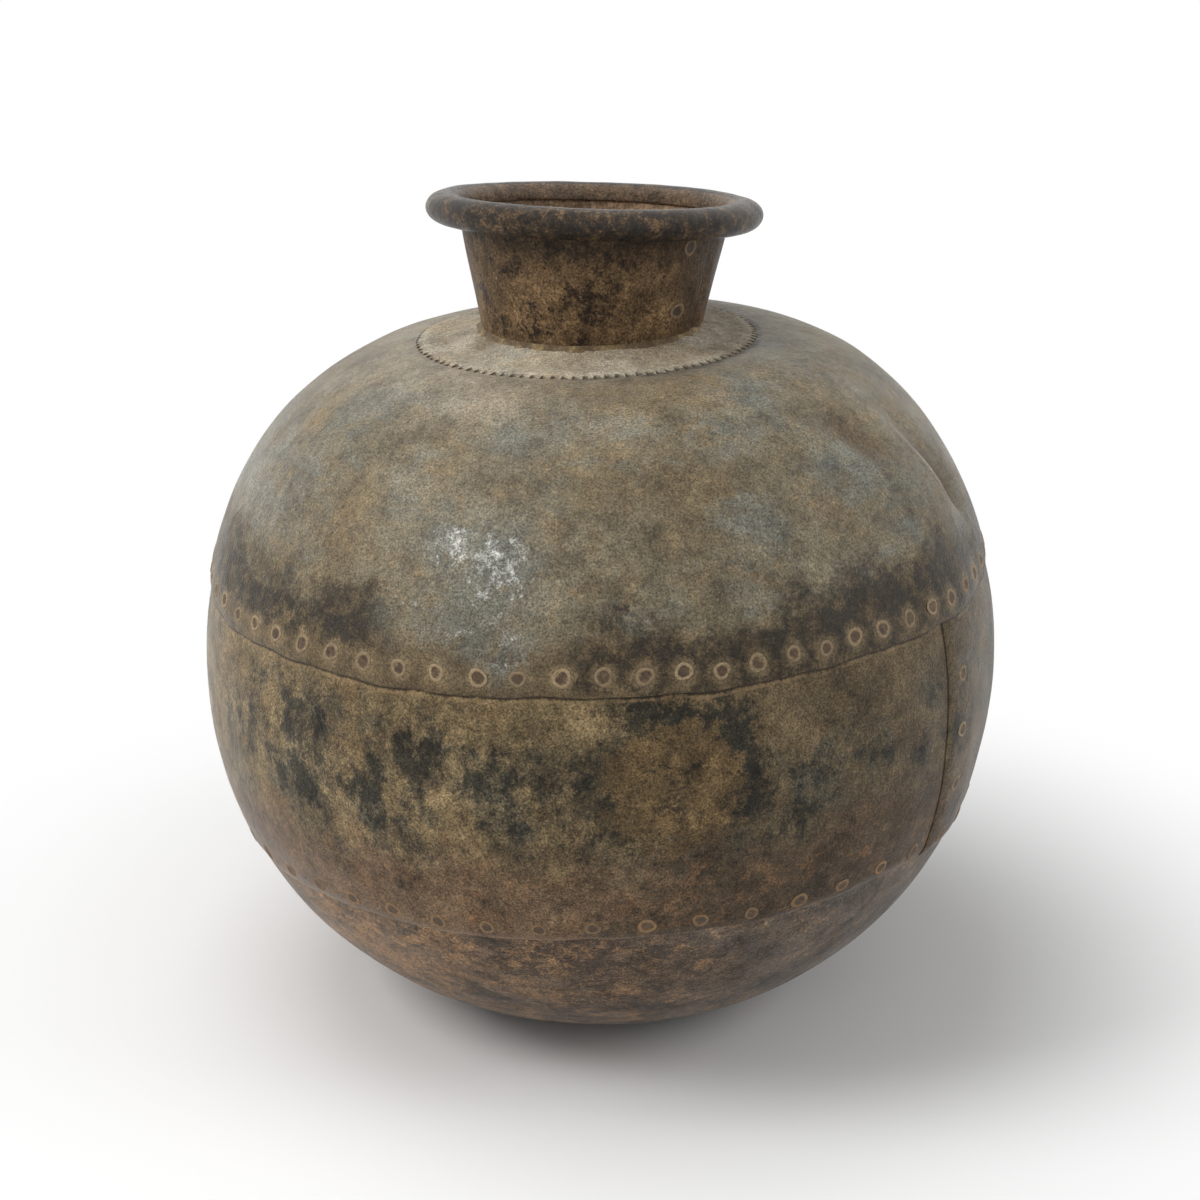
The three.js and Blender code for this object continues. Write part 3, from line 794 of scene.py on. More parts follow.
@dataclass(frozen=True)
class DomePatina:
    """Khaki patina of the dome, smoked above the seam and flaked with white."""

    shape: PotShape
    khaki: Colour = (0.146, 0.112, 0.063)
    grey: Colour = (0.186, 0.160, 0.106)
    tan: Colour = (0.226, 0.160, 0.086)
    blue_grey: Colour = (0.160, 0.168, 0.146)
    umber: Colour = (0.086, 0.065, 0.038)
    smoke: Colour = (0.020, 0.016, 0.011)
    skirt: Colour = (0.116, 0.080, 0.040)
    halo: Colour = (0.215, 0.158, 0.086)
    flake: Colour = (0.560, 0.555, 0.520)
    dust: Colour = (0.345, 0.300, 0.226)
    # hollow: painted shade in the creases; lip: painted highlight on their ridges
    hollow: Colour = (0.092, 0.060, 0.033)
    lip: Colour = (0.370, 0.315, 0.230)
    # grime and painted shade at the seam's edge and round the ring's foot
    dirt_and_shade: Colour = (0.030, 0.020, 0.013)
    wear: Wear = Wear((55.0, 4.0, 0.5), 0.0009, (420.0, 5.0, 0.7), 0.0005, 950.0, 0.60, 0.70)
    flake_spots: tuple[Spot, ...] = (
        Spot(-14.5, 0.309, 0.022),
        Spot(-22.0, 0.317, 0.016),
        Spot(-18.0, 0.285, 0.022, 0.72),
        Spot(-13.0, 0.272, 0.016, 0.75),
        Spot(-27.0, 0.284, 0.016, 0.70),
    )
    clean_spot: Spot = Spot(-17.0, 0.282, 0.040)
    # painted reflection of the white surroundings at the dome's left edge
    left_edge_reflection: Colour = (0.300, 0.296, 0.262)
    haze_spots: tuple[Spot, ...] = (
        Spot(-54.4, 0.357, 0.024, 0.8),
        Spot(-33.8, 0.345, 0.016, 0.6),
        Spot(-14.6, 0.365, 0.020, 0.7),
        Spot(8.3, 0.366, 0.020, 0.6),
        Spot(23.2, 0.363, 0.018),
        Spot(35.7, 0.371, 0.016),
        Spot(48.2, 0.340, 0.022),
        Spot(55.9, 0.311, 0.022),
        Spot(72.5, 0.288, 0.018),
        Spot(24.8, 0.324, 0.014, 0.7),
    )

    def make(self) -> Material:
        """Lays the coats of the dome's patina."""
        paint = Paint("dome_patina", self.khaki)
        paint.lay(self.grey, paint.noise(7.0, 5.0, 0.55), 0.40, 0.62)
        umber = paint.noise(18.0, 8.0, 0.80, (5.0, 2.0, 7.0))
        paint.lay(self.umber, umber, 0.47, 0.62, 0.62)
        mottle = paint.noise(44.0, 8.0, 0.82, (3.0, 1.0, 2.0))
        paint.lay(self.tan, mottle, 0.49, 0.61, 0.60)
        bloom = paint.noise(15.0, 8.0, 0.82, (1.0, 5.0, 2.0), (1.0, 1.0, 2.2))
        paint.lay(self.blue_grey, bloom, 0.50, 0.61, 0.50)
        placed = paint.nearest(self.haze_spots, self.shape)
        paint.cover(self.blue_grey, placed, paint.fade(bloom, 0.40, 0.54, 0.80))
        leftward = paint.sum(paint.along("X"), mottle, 0.10)
        clear = paint.fade(paint.kept(Mark.ABOVE_UPPER), 0.040, 0.062)
        # painted reflection: pale haze over the dome's far left, kept clear of the seam
        paint.cover(self.left_edge_reflection, paint.fade(leftward, -0.130, -0.215, 0.50), clear)
        # dust on the dome's top, with painted light making it paler at the left than at the right
        high = paint.sum(paint.along("Z"), paint.noise(25.0, 8.0, 0.65, (8.0, 0.0, 3.0)), 0.05)
        dusty = paint.both(paint.fade(high, 0.352, 0.388, 0.62), paint.fade(leftward, 0.070, -0.070))
        paint.cover(self.dust, dusty)
        # grime and painted shade round the foot of the ring's edge, stronger towards the right, away from the
        # light
        beside = paint.distance(tuple(self.shape.top_frame().to_translation()))
        ring_foot_dirt_and_shade = paint.both(paint.fade(beside, 0.0990, 0.0962), paint.fade(mottle, 0.42, 0.54))
        paint.cover(self.dirt_and_shade, ring_foot_dirt_and_shade, paint.fade(leftward, -0.04, 0.03, 0.85))
        # painted shade in the creases' hollows and painted highlight on their lips
        paint.lay(self.hollow, paint.kept(Mark.HOLLOW), 0.15, 0.85, 0.70)
        paint.lay(self.lip, paint.kept(Mark.LIP), 0.25, 0.90, 0.70)
        self.smoked(paint)
        self.flaked(paint)
        paint.weather(self.wear)
        # grime and painted shade along the dome's lower edge
        edge = paint.sum(paint.kept(Mark.ABOVE_UPPER), mottle, 0.0045)
        paint.lay(self.dirt_and_shade, edge, 0.0008, 0.0001, 0.65)
        return paint.done(paint.between(mottle, 0.34, 0.58), 0.20, 0.55)

    def smoked(self, paint: Paint) -> None:
        """Lays the smoky band over the seam, the browner skirt under it and the rivets' rubbed halos."""
        above = paint.kept(Mark.ABOVE_UPPER)
        paint.lay(self.skirt, above, 0.034, 0.014, 0.85)
        rightward = paint.fade(paint.along("X"), -0.06, 0.09)
        rising = paint.shifted(above, rightward, 0.007)
        ragged = paint.sum(rising, paint.noise(15.0, 8.0, 0.84, (7.0, 2.0, 4.0)), 0.120)
        falling = paint.shifted(above, rightward, 0.018)
        speckled = paint.sum(falling, paint.noise(60.0, 8.0, 0.82, (2.0, 2.0, 6.0)), 0.090)
        band = paint.both(paint.fade(speckled, 0.009, 0.021), paint.fade(ragged, 0.050, 0.030))
        patchy = paint.fade(paint.noise(19.0, 8.0, 0.82, (2.0, 8.0, 1.0)), 0.31, 0.45, 0.94)
        inward = paint.fade(paint.along("X"), -0.226, -0.206)
        clean = paint.without(paint.fade(paint.near(self.clean_spot, self.shape), 0.0, 0.6, 0.80))
        sooty = paint.noise(85.0, 8.0, 0.88, (6.0, 3.0, 3.0))
        soot = paint.mixed(paint.fade(sooty, 0.47, 0.58, 0.75), self.smoke, self.skirt)
        paint.cover(soot, band, patchy, inward, clean)
        near = paint.sum(paint.kept(Mark.NEAR_RIVET), paint.noise(120.0, 6.0, 0.85, (1.0, 3.0, 0.0)), 0.016)
        paint.lay(self.halo, near, 0.0088, 0.0052, 0.50)

    def flaked(self, paint: Paint) -> None:
        """Lays the white mineral flakes and the grey bloom round them."""
        flakes = paint.noise(120.0, 8.0, 0.88, (4.0, 4.0, 9.0))
        zone = paint.nearest(self.flake_spots, self.shape)
        bloom = paint.both(zone, paint.fade(paint.noise(33.0, 8.0, 0.84, (0.0, 1.0, 8.0)), 0.42, 0.56, 0.8))
        paint.cover(self.blue_grey, bloom)
        reach = paint.sum(zone, flakes, 4.0)
        paint.lay(self.flake, reach, 0.86, 1.30, 0.85)


@dataclass(frozen=True)
class BeltPatina:
    """Olive-brown belt, blotched near-black, with a ring-shaped stain and a rusty foot."""

    shape: PotShape
    tan: Colour = (0.240, 0.174, 0.090)
    olive: Colour = (0.162, 0.119, 0.061)
    brown: Colour = (0.176, 0.112, 0.054)
    umber: Colour = (0.052, 0.038, 0.023)
    black: Colour = (0.018, 0.018, 0.014)
    moss: Colour = (0.074, 0.058, 0.034)
    blue_grey: Colour = (0.104, 0.111, 0.095)
    rust: Colour = (0.132, 0.083, 0.048)
    red: Colour = (0.215, 0.112, 0.052)
    stain_brown: Colour = (0.096, 0.062, 0.028)
    stain_tan: Colour = (0.190, 0.126, 0.058)
    edge_tan: Colour = (0.285, 0.190, 0.100)
    # grime and painted shade in the seam gaps
    dirt_and_shade: Colour = (0.024, 0.016, 0.011)
    wear: Wear = Wear(
        (60.0, 4.0, 0.5), 0.0008, (380.0, 6.0, 0.72), 0.0005, 950.0, 0.70, 0.95, (1.0, 0.0, 5.0)
    )
    stain: Spot = Spot(9.5, 0.2035, 0.040)
    stain_strong: Spot = Spot(15.0, 0.236, 0.055)
    blotches: tuple[Spot, ...] = (
        Spot(-56.8, 0.210, 0.018, 0.8),
        Spot(-46.0, 0.180, 0.020),
        Spot(-43.5, 0.216, 0.016),
        Spot(-33.0, 0.188, 0.018),
        Spot(-24.3, 0.217, 0.016),
        Spot(-14.0, 0.212, 0.016),
        Spot(-12.9, 0.175, 0.016),
        Spot(-3.8, 0.211, 0.018),
        Spot(-1.0, 0.182, 0.018),
        Spot(9.0, 0.158, 0.018),
        Spot(22.0, 0.163, 0.018),
        Spot(27.4, 0.189, 0.020),
        Spot(34.3, 0.213, 0.017),
        Spot(40.0, 0.204, 0.014),
    )

    def make(self) -> Material:
        """Lays the coats of the belt's patina."""
        paint = Paint("belt_patina", self.olive)
        paint.lay(self.tan, paint.noise(18.0, 8.0, 0.82, (2.0, 3.0, 1.0)), 0.43, 0.56)
        warm = paint.noise(34.0, 8.0, 0.82, (9.0, 3.0, 5.0))
        paint.lay(self.brown, warm, 0.49, 0.60, 0.65)
        # painted shade: darker umber towards the right side, away from the light
        paint.lay(self.umber, paint.along("X"), -0.03, 0.11, 0.64)
        self.blotched(paint)
        self.stained(paint)
        self.rusted(paint)
        paint.weather(self.wear)
        self.seamed(paint)
        return paint.done(paint.between(warm, 0.30, 0.52), 0.14, 0.45)

    def blotched(self, paint: Paint) -> None:
        """Lays near-black blotches with a blue-grey bloom at their borders."""
        height = paint.sum(paint.along("Z"), paint.noise(10.0, 6.0, 0.6, (5.0, 5.0, 1.0)), 0.085)
        zone = paint.both(paint.fade(height, 0.132, 0.166), paint.fade(height, 0.256, 0.220))
        large = paint.noise(14.0, 5.0, 0.6, (6.0, 1.0, 3.0), (1.0, 1.0, 0.8))
        fine = paint.noise(46.0, 8.0, 0.84, (2.0, 9.0, 3.0), (1.0, 1.0, 0.8))
        placed = paint.nearest(self.blotches, self.shape)
        blot = paint.shifted(paint.sum(fine, large, 0.35), placed, 0.095)
        patch = paint.fade(paint.noise(24.0, 8.0, 0.80, (4.0, 7.0, 7.0)), 0.46, 0.58)
        paint.cover(self.blue_grey, paint.fade(blot, 0.48, 0.57, 0.62), zone, patch)
        paint.cover(self.moss, paint.fade(blot, 0.46, 0.54, 0.50), zone)
        dark = paint.both(paint.fade(blot, 0.53, 0.63, 0.86), zone)
        paint.cover(self.black, dark)

    def stained(self, paint: Paint) -> None:
        """Lays the ring-shaped stain with its brown middle."""
        radius = self.stain.reach
        centre = self.stain.centre(self.shape)
        off = paint.sum(paint.distance(centre), paint.noise(42.0, 8.0, 0.84, (0.0, 7.0, 2.0)), 0.090)
        inside = paint.fade(off, radius * 1.04, radius * 0.80, 0.88)
        paint.cover(self.stain_brown, inside)
        inner = paint.noise(50.0, 8.0, 0.84, (3.0, 3.0, 3.0))
        paint.cover(self.stain_tan, inside, paint.fade(inner, 0.48, 0.57, 0.82))
        specks = paint.noise(64.0, 8.0, 0.86, (5.0, 8.0, 3.0))
        paint.cover(self.black, inside, paint.fade(specks, 0.53, 0.60, 0.85))
        coming = paint.fade(off, radius * 0.84, radius * 1.02)
        going = paint.fade(off, radius * 1.42, radius * 1.14)
        strong = paint.near(self.stain_strong, self.shape)
        broken = paint.sum(strong, paint.noise(27.0, 8.0, 0.82, (6.0, 2.0, 2.0)), 4.0)
        paint.cover(self.black, coming, going, paint.fade(broken, 0.05, 0.80, 0.92))

    def rusted(self, paint: Paint) -> None:
        """Lays the rust over the belt's lower edge."""
        above = paint.sum(paint.kept(Mark.ABOVE_LOWER), paint.noise(26.0, 8.0, 0.84, (4.0, 0.0, 8.0)), 0.140)
        rust = paint.fade(above, 0.068, 0.026, 0.88)
        paint.cover(self.rust, rust)
        # painted shade: the rusty foot darker towards the right side
        side = paint.sum(paint.along("X"), paint.noise(30.0, 8.0, 0.84, (8.0, 2.0, 0.0)), 0.80)
        paint.cover(self.umber, rust, paint.fade(side, -0.07, 0.06, 0.95))
        red = paint.fade(paint.noise(58.0, 8.0, 0.90, (8.0, 8.0, 0.0)), 0.50, 0.59, 0.60)
        paint.cover(self.red, rust, red)

    def seamed(self, paint: Paint) -> None:
        """Lays worn lines along the seams, and grime with painted gap shade under the dome's edge and beside
        the lap.
        """
        broken = paint.fade(paint.noise(120.0, 8.0, 0.86), 0.46, 0.56, 0.60)
        under = paint.sum(paint.kept(Mark.ABOVE_UPPER), paint.noise(75.0, 8.0, 0.85, (3.0, 1.0, 7.0)), 0.0045)
        worn = paint.both(paint.fade(under, -0.0032, -0.0022), paint.fade(under, -0.0009, -0.0016), broken)
        paint.cover(self.edge_tan, worn)
        # grime and painted shade in the gap under the dome's edge
        paint.lay(self.dirt_and_shade, under, -0.0012, -0.0003, 0.8)
        low = paint.kept(Mark.ABOVE_LOWER)
        paint.cover(self.edge_tan, paint.fade(low, 0.0016, 0.0006), broken)
        # grime and painted shade in the gap beside the rear plate's lifted end
        past = paint.kept(Mark.PAST_LAP)
        gap = paint.both(paint.fade(past, -0.0012, -0.0004), paint.fade(past, 0.0001, -0.0001, 0.8))
        paint.cover(self.dirt_and_shade, gap)


@dataclass(frozen=True)
class PanRust:
    """Rusty brown pan with orange clouds and a painted purple-grey shade on its right side."""

    brown: Colour = (0.150, 0.101, 0.064)
    umber: Colour = (0.058, 0.042, 0.031)
    orange: Colour = (0.275, 0.163, 0.083)
    ochre: Colour = (0.285, 0.186, 0.098)
    grey: Colour = (0.110, 0.092, 0.076)
    wear: Wear = Wear(
        (70.0, 5.0, 0.55), 0.0008, (300.0, 6.0, 0.74), 0.0006, 950.0, 0.70, 0.95, (2.0, 2.0, 0.0)
    )

    def make(self) -> Material:
        """Lays the coats of the pan's rust."""
        paint = Paint("pan_rust", self.brown)
        cloud = paint.noise(14.0, 8.0, 0.80, (1.0, 6.0, 2.0), (1.0, 1.0, 2.4))
        paint.lay(self.umber, cloud, 0.44, 0.56, 0.90)
        # painted shade: greyer and darker towards the right side
        side = paint.sum(paint.along("X"), paint.noise(14.0, 8.0, 0.65, (4.0, 4.0, 0.0)), 0.20)
        paint.lay(self.grey, side, -0.02, 0.15, 0.70)
        rust = paint.noise(34.0, 8.0, 0.88, (5.0, 1.6, 7.0), (1.0, 1.0, 1.5))
        leftward = paint.shifted(rust, paint.along("X"), -0.36)
        paint.lay(self.orange, leftward, 0.50, 0.58, 0.82)
        fleck = paint.noise(125.0, 9.0, 0.76, (7.0, 3.0, 1.0))
        paint.lay(self.ochre, fleck, 0.55, 0.66, 0.60)
        paint.weather(self.wear)
        return paint.done(paint.between(rust, 0.36, 0.58), 0.16, 0.25)


@dataclass(frozen=True)
class NeckRust:
    """Dark brown neck, speckled orange and black, with painted shadow under the rim and painted shade on its
    right side.
    """

    umber: Colour = (0.070, 0.043, 0.022)
    brown: Colour = (0.138, 0.087, 0.044)
    ochre: Colour = (0.262, 0.166, 0.083)
    black: Colour = (0.014, 0.010, 0.008)
    inner: Colour = (0.255, 0.168, 0.100)
    wear: Wear = Wear(
        (80.0, 4.0, 0.5), 0.0007, (230.0, 6.0, 0.74), 0.0006, 820.0, 0.70, 0.95, (2.0, 2.0, 0.0)
    )
    mark_place: Place = (-0.0460, -0.0560, 0.4345)
    mark_in: Range = (0.0027, 0.003825)
    mark_out: Range = (0.005175, 0.00405)

    def make(self) -> Material:
        """Lays the coats of the neck's rust."""
        paint = Paint("neck_rust", self.umber)
        cloud = paint.noise(24.0, 8.0, 0.66, (3.0, 0.0, 1.0))
        paint.lay(self.brown, cloud, 0.42, 0.58)
        rust = paint.noise(80.0, 8.0, 0.86, (6.0, 6.0, 6.0))
        paint.lay(self.ochre, rust, 0.50, 0.60, 0.72)
        patch = paint.noise(27.0, 6.0, 0.6, (9.0, 1.0, 1.0))
        spots = paint.sum(paint.noise(90.0, 8.0, 0.90, (0.0, 4.0, 2.0)), patch, 0.34)
        paint.lay(self.black, spots, 0.52, 0.58, 0.90)
        # painted shadow: black band under the rim
        high = paint.sum(paint.along("Z"), rust, 0.12)
        paint.lay(self.black, high, 0.430, 0.452, 0.70)
        # painted shade: darker towards the right side
        right = paint.sum(paint.along("X"), patch, 0.20)
        paint.lay(self.umber, right, 0.00, 0.06, 0.62)
        paint.lay(self.inner, paint.kept(Mark.INSIDE), 0.3, 0.7, 0.80)
        paint.cover(self.black, paint.hoop(self.mark_place, self.mark_in, self.mark_out, 0.6))
        paint.weather(self.wear)
        return paint.done(paint.between(spots, 0.58, 0.36), 0.13)


@dataclass(frozen=True)
class RimIron:
    """Dark handled iron of the rim, worn to a satin."""

    dark: Colour = (0.036, 0.022, 0.011)
    brown: Colour = (0.195, 0.115, 0.050)
    black: Colour = (0.006, 0.004, 0.002)
    inner: Colour = (0.235, 0.152, 0.088)

    def make(self) -> Material:
        """Lays the coats of the rim."""
        paint = Paint("rim_iron", self.dark)
        cloud = paint.noise(95.0, 8.0, 0.88)
        paint.lay(self.brown, cloud, 0.48, 0.58, 0.85)
        spots = paint.noise(190.0, 8.0, 0.90, (2.0, 5.0, 1.0))
        paint.lay(self.black, spots, 0.48, 0.56, 0.92)
        inside = paint.sum(paint.kept(Mark.INSIDE), cloud, 1.0)
        paint.lay(self.inner, inside, 0.4, 0.9, 0.75)
        grain = paint.grain(820.0, 0.75)
        paint.grit(0.95)
        paint.relief(paint.noise(110.0, 5.0, 0.6), 0.0014)
        paint.relief(spots, 0.0022)
        paint.relief(grain, paint.GRAIN_DEPTH)
        return paint.done(paint.between(spots, 0.10, 0.34), 0.24)


@dataclass(frozen=True)
class RivetWear:
    """Rivet with a rubbed crown ring round a dark, sunk core."""

    name: str
    crown: Colour
    core: Colour
    # grime and painted shade in the groove round the core and at the head's foot
    gap: Colour = (0.020, 0.014, 0.009)

    def make(self) -> Material:
        """Lays the core, the grime and painted shade in the groove round it and at the head's foot, and the
        worn crown.
        """
        paint = Paint(self.name, self.gap)
        speck = paint.noise(230.0, 7.0, 0.86)
        worn = paint.sum(paint.kept(Mark.CROWN), speck, 3.2)
        # where the crown mark is low the ground stays, as grime and painted shade
        paint.lay(self.core, worn, 0.06, 0.34)
        paint.cover(self.crown, paint.fade(worn, 0.45, 0.85), paint.kept(Mark.TONE))
        paint.vary(speck, 1.40, 0.60)
        paint.grain(820.0, 0.35)
        paint.relief(speck, 0.0004)
        return paint.done(paint.between(speck, 0.45, 0.62), 0.30)


@dataclass(frozen=True)
class RingDust:
    """Pale, dusty shoulder ring with painted shade in the slits of its teeth and along their wall."""

    dust: Colour = (0.430, 0.378, 0.290)
    tan: Colour = (0.345, 0.284, 0.198)
    grey: Colour = (0.325, 0.316, 0.268)
    umber: Colour = (0.190, 0.146, 0.092)
    # painted shade in the teeth's slits and along their wall
    dirt_and_shade: Colour = (0.034, 0.024, 0.016)
    wear: Wear = Wear((60.0, 4.0, 0.5), 0.0009, (420.0, 6.0, 0.72), 0.0005, 950.0, 0.55, 0.60)
    mark_place: Place = (-0.0890, -0.0150, 0.3815)
    mark_in: Range = (0.00312, 0.00408)
    mark_out: Range = (0.00576, 0.0048)

    def make(self) -> Material:
        """Lays the coats of the ring."""
        paint = Paint("ring_dust", self.dust)
        cloud = paint.noise(26.0, 9.0, 0.66, (2.0, 2.0, 2.0))
        paint.lay(self.tan, cloud, 0.42, 0.60)
        bloom = paint.noise(33.0, 9.0, 0.70, (7.0, 3.0, 1.0))
        paint.lay(self.grey, bloom, 0.50, 0.64, 0.6)
        shade = paint.noise(21.0, 9.0, 0.68, (1.0, 8.0, 5.0))
        paint.lay(self.umber, shade, 0.52, 0.68, 0.6)
        paint.weather(self.wear)
        paint.cover(self.umber, paint.hoop(self.mark_place, self.mark_in, self.mark_out, 0.6))
        # painted shade in the slits and along the teeth's wall
        paint.lay(self.dirt_and_shade, paint.kept(Mark.SLIT), 0.25, 0.70, 0.9)
        return paint.done(0.7, 0.2)


@dataclass(frozen=True)
class BrazeBrass:
    """Rough, tarnished brass run round the foot of the neck."""

    brass: Colour = (0.300, 0.212, 0.105)
    dull: Colour = (0.110, 0.075, 0.042)

    def make(self) -> Material:
        """Lays the tarnish."""
        paint = Paint("braze_brass", self.brass)
        cloud = paint.noise(60.0, 10.0, 0.74)
        paint.lay(self.dull, cloud, 0.42, 0.58)
        paint.vary(paint.noise(420.0, 6.0, 0.7), 0.55, 1.45)
        paint.relief(paint.noise(220.0, 6.0, 0.7), 0.0008)
        return paint.done(0.6, 0.25)


@dataclass(frozen=True)
class UpperRow:
    """Places of the rivets through the dome's skirt, which drift a little from even spacing."""

    count: int = 66
    start: float = -0.9
    drift: float = 1.3
    drift_pitch: float = 28.0
    drift_start: float = 8.5
    side_jitter: float = 0.25
    height_jitter: float = 0.0007
    seed: int = 5

    def spots(self, shape: PotShape) -> tuple[Array, Array]:
        """Gives the azimuths and heights of the rivets."""
        luck = np.random.default_rng(self.seed)
        turn = np.arange(self.count)
        turn = np.where(turn < self.count / 2, turn, turn - self.count)
        drift = self.drift * np.sin(FULL_TURN * (turn + self.drift_start) / self.drift_pitch)
        azimuth = self.start + turn * 360.0 / self.count + drift
        azimuth += luck.uniform(-self.side_jitter, self.side_jitter, self.count)
        middle = shape.upper_lap / 2.0 + luck.uniform(-self.height_jitter, self.height_jitter, self.count)
        return azimuth, shape.upper_edge(azimuth) + middle

    def nearest(self, shape: PotShape, place: Array, azimuth: Array) -> Array:
        """Gives the distance from each place on the dome to its nearest rivet."""
        point, _ = shape.outline(place)
        rivet_azimuth, rivet_height = self.spots(shape)
        turn = half_turned(azimuth[:, None] - rivet_azimuth[None, :])
        across = np.radians(turn) * point[:, :1]
        return np.min(np.hypot(across, point[:, 1:] - rivet_height[None, :]), axis=1)


@dataclass
class Body:
    """The four sheets of the body: pan, two belt plates and dome."""

    shape: PotShape
    upper_row: UpperRow
    columns: int = 420
    pan_rows: int = 48
    belt_rows: int = 56
    dome_rows: int = 80
    edge_taper: float = 0.0014
    edge_reach: float = 0.0060
    creases: tuple[Crease, ...] = (
        Crease((0.1640, -0.0640, 0.3430), (0.1905, -0.0600, 0.3110), 0.0058, 0.0050, 0.0140, 0.0010),
        Crease((0.0901, -0.1040, 0.3673), (0.1369, -0.1021, 0.3440), 0.0020, 0.0100, 0.0140, 0.0003),
    )

    def tapered(self, off_edge: Array) -> Array:
        """Gives how far a lapped edge is hammered down, by the distance from it."""
        return self.edge_taper * (1.0 - smoothstep(off_edge, 0.0, self.edge_reach))

    def finished(self, piece: Piece, place: Array, azimuth: Array) -> None:
        """Keeps the seams' distances on a settled skin and gives it its thickness.

        Args:
            piece: the settled skin.
            place: each vertex's place on the outline.
            azimuth: each vertex's angle from the front.
        """
        point, _ = self.shape.outline(place)
        Bench.mark(piece, Mark.ABOVE_UPPER, point[:, 1] - self.shape.upper_edge(azimuth))
        Bench.mark(piece, Mark.ABOVE_LOWER, point[:, 1] - self.shape.lower_edge(azimuth))
        right = half_turned(azimuth - self.shape.right_lap[0])
        left = half_turned(self.shape.left_lap[1] - azimuth)
        nearer = np.where(np.abs(right) < np.abs(left), right, left)
        Bench.mark(piece, Mark.PAST_LAP, np.radians(nearer) * point[:, 0])
        Bench.face_out(piece)
        Bench.thicken(piece, self.shape.sheet)
        Bench.round_edges(piece, self.shape.edge_round)
        Bench.smooth(piece)

    def spun_rows(self, name: str, places: Array) -> tuple[Piece, Array, Array]:
        """Spins the outline and finds each vertex's row and angle.

        Args:
            name: name of the piece.
            places: places of the rows at the front.

        Returns:
            The piece, each vertex's row and each vertex's azimuth.
        """
        profile, _ = self.shape.outline(places)
        piece = Bench.spun(name, profile, self.columns)
        points, radius, azimuth = Bench.round_points(piece)
        flat = np.stack([radius, points[:, 2]], axis=1)
        gap = np.linalg.norm(flat[:, None, :] - profile[None, :, :], axis=2)
        return piece, np.argmin(gap, axis=1), azimuth

    def pan(self) -> Piece:
        """Makes the dished bottom pan."""
        shape = self.shape
        share = np.concatenate([(shape.AT_AXIS, shape.AT_AXIS / 2.0), np.linspace(0.0, 1.0, self.pan_rows)])
        top = shape.place_at(shape.lower_edge(np.zeros(1)) + shape.lower_lap)
        piece, row, azimuth = self.spun_rows("pan_sheet", np.where(share < 0.0, share, share * top))
        lap_top = shape.place_at(shape.lower_edge(azimuth) + shape.lower_lap)
        place = np.where(share[row] < 0.0, share[row], share[row] * lap_top)
        Bench.settle(piece, shape.skin(place, azimuth, shape.hammered(place, azimuth)))
        self.finished(piece, place, azimuth)
        Bench.dress(piece, PanRust().make())
        return Bench.fit(piece, Slot.PAN, "bottom_pan")

    def dome(self) -> Piece:
        """Makes the dome, leaned and dented."""
        shape = self.shape
        share = np.concatenate([np.linspace(0.0, 1.0, self.dome_rows), (1.5, 2.0)])

        def rows(at: Array, low: Array) -> Array:
            """Gives places from the skirt's edge to the land, and on to the mouth."""
            on_dome = lerp(low, shape.AT_LAND, np.minimum(at, 1.0))
            return np.where(at <= 1.0, on_dome, shape.AT_LAND + at - 1.0)

        low_edge = shape.place_at(shape.upper_edge(np.zeros(1)))
        piece, row, azimuth = self.spun_rows("dome_sheet", rows(share, low_edge))
        edge = shape.upper_edge(azimuth)
        place = rows(share[row], shape.place_at(edge))
        tilt_share = smoothstep(place, shape.place_at(edge + shape.upper_lap), shape.AT_LAND)
        offset = 2.0 * shape.lap_step + shape.lift(azimuth) * (1.0 - tilt_share)
        offset += shape.hammered(place, azimuth)
        offset -= self.tapered(shape.outline(place)[0][:, 1] - edge)
        bare = shape.skin(place, azimuth, offset, tilt_share)
        dents = sum(crease.push(bare) for crease in self.creases)
        Bench.settle(piece, shape.skin(place, azimuth, offset + dents, tilt_share))
        shares = [crease.shares(bare) for crease in self.creases]
        # masks for the creases' painted shade and painted highlight
        Bench.mark(piece, Mark.HOLLOW, np.max([hollow for hollow, _ in shares], axis=0))
        Bench.mark(piece, Mark.LIP, np.max([lip for _, lip in shares], axis=0))
        Bench.mark(piece, Mark.NEAR_RIVET, self.upper_row.nearest(shape, place, azimuth))
        self.finished(piece, place, azimuth)
        Bench.dress(piece, DomePatina(shape).make())
        return Bench.fit(piece, Slot.DOME, "dome_plate")

    def belt_plate(self, name: str, node: str, start: float, end: float, lifted: bool,
                   material: Material) -> Piece:
        """Bends one flat sheet round the belly.

        Args:
            name: name of the piece.
            node: solid that it stands for.
            start: azimuth of its first end.
            end: azimuth of its other end.
            lifted: whether its ends ride up over the other plate.
            material: its finish.

        Returns:
            The finished plate.
        """
        shape = self.shape
        columns = round(self.columns * (end - start) / 360.0)
        piece = Bench.flat_sheet(name, columns, self.belt_rows)
        share = Bench.points(piece)[:, :2] + 0.5
        azimuth = lerp(start, end, share[:, 0])
        low = shape.place_at(shape.lower_edge(azimuth))
        high = shape.place_at(shape.upper_edge(azimuth) + shape.upper_lap)
        place = lerp(low, high, share[:, 1])
        point, _ = shape.outline(place)
        offset = shape.lap_step + shape.hammered(place, azimuth)
        offset -= self.tapered(point[:, 1] - shape.lower_edge(azimuth))
        if lifted:
            off_end = np.radians(np.minimum(azimuth - start, end - azimuth)) * point[:, 0]
            offset += shape.lift(azimuth) - self.tapered(off_end)
        Bench.settle(piece, shape.skin(place, azimuth, offset))
        self.finished(piece, place, azimuth)
        Bench.dress(piece, material)
        return Bench.fit(piece, Slot.BELT, node)

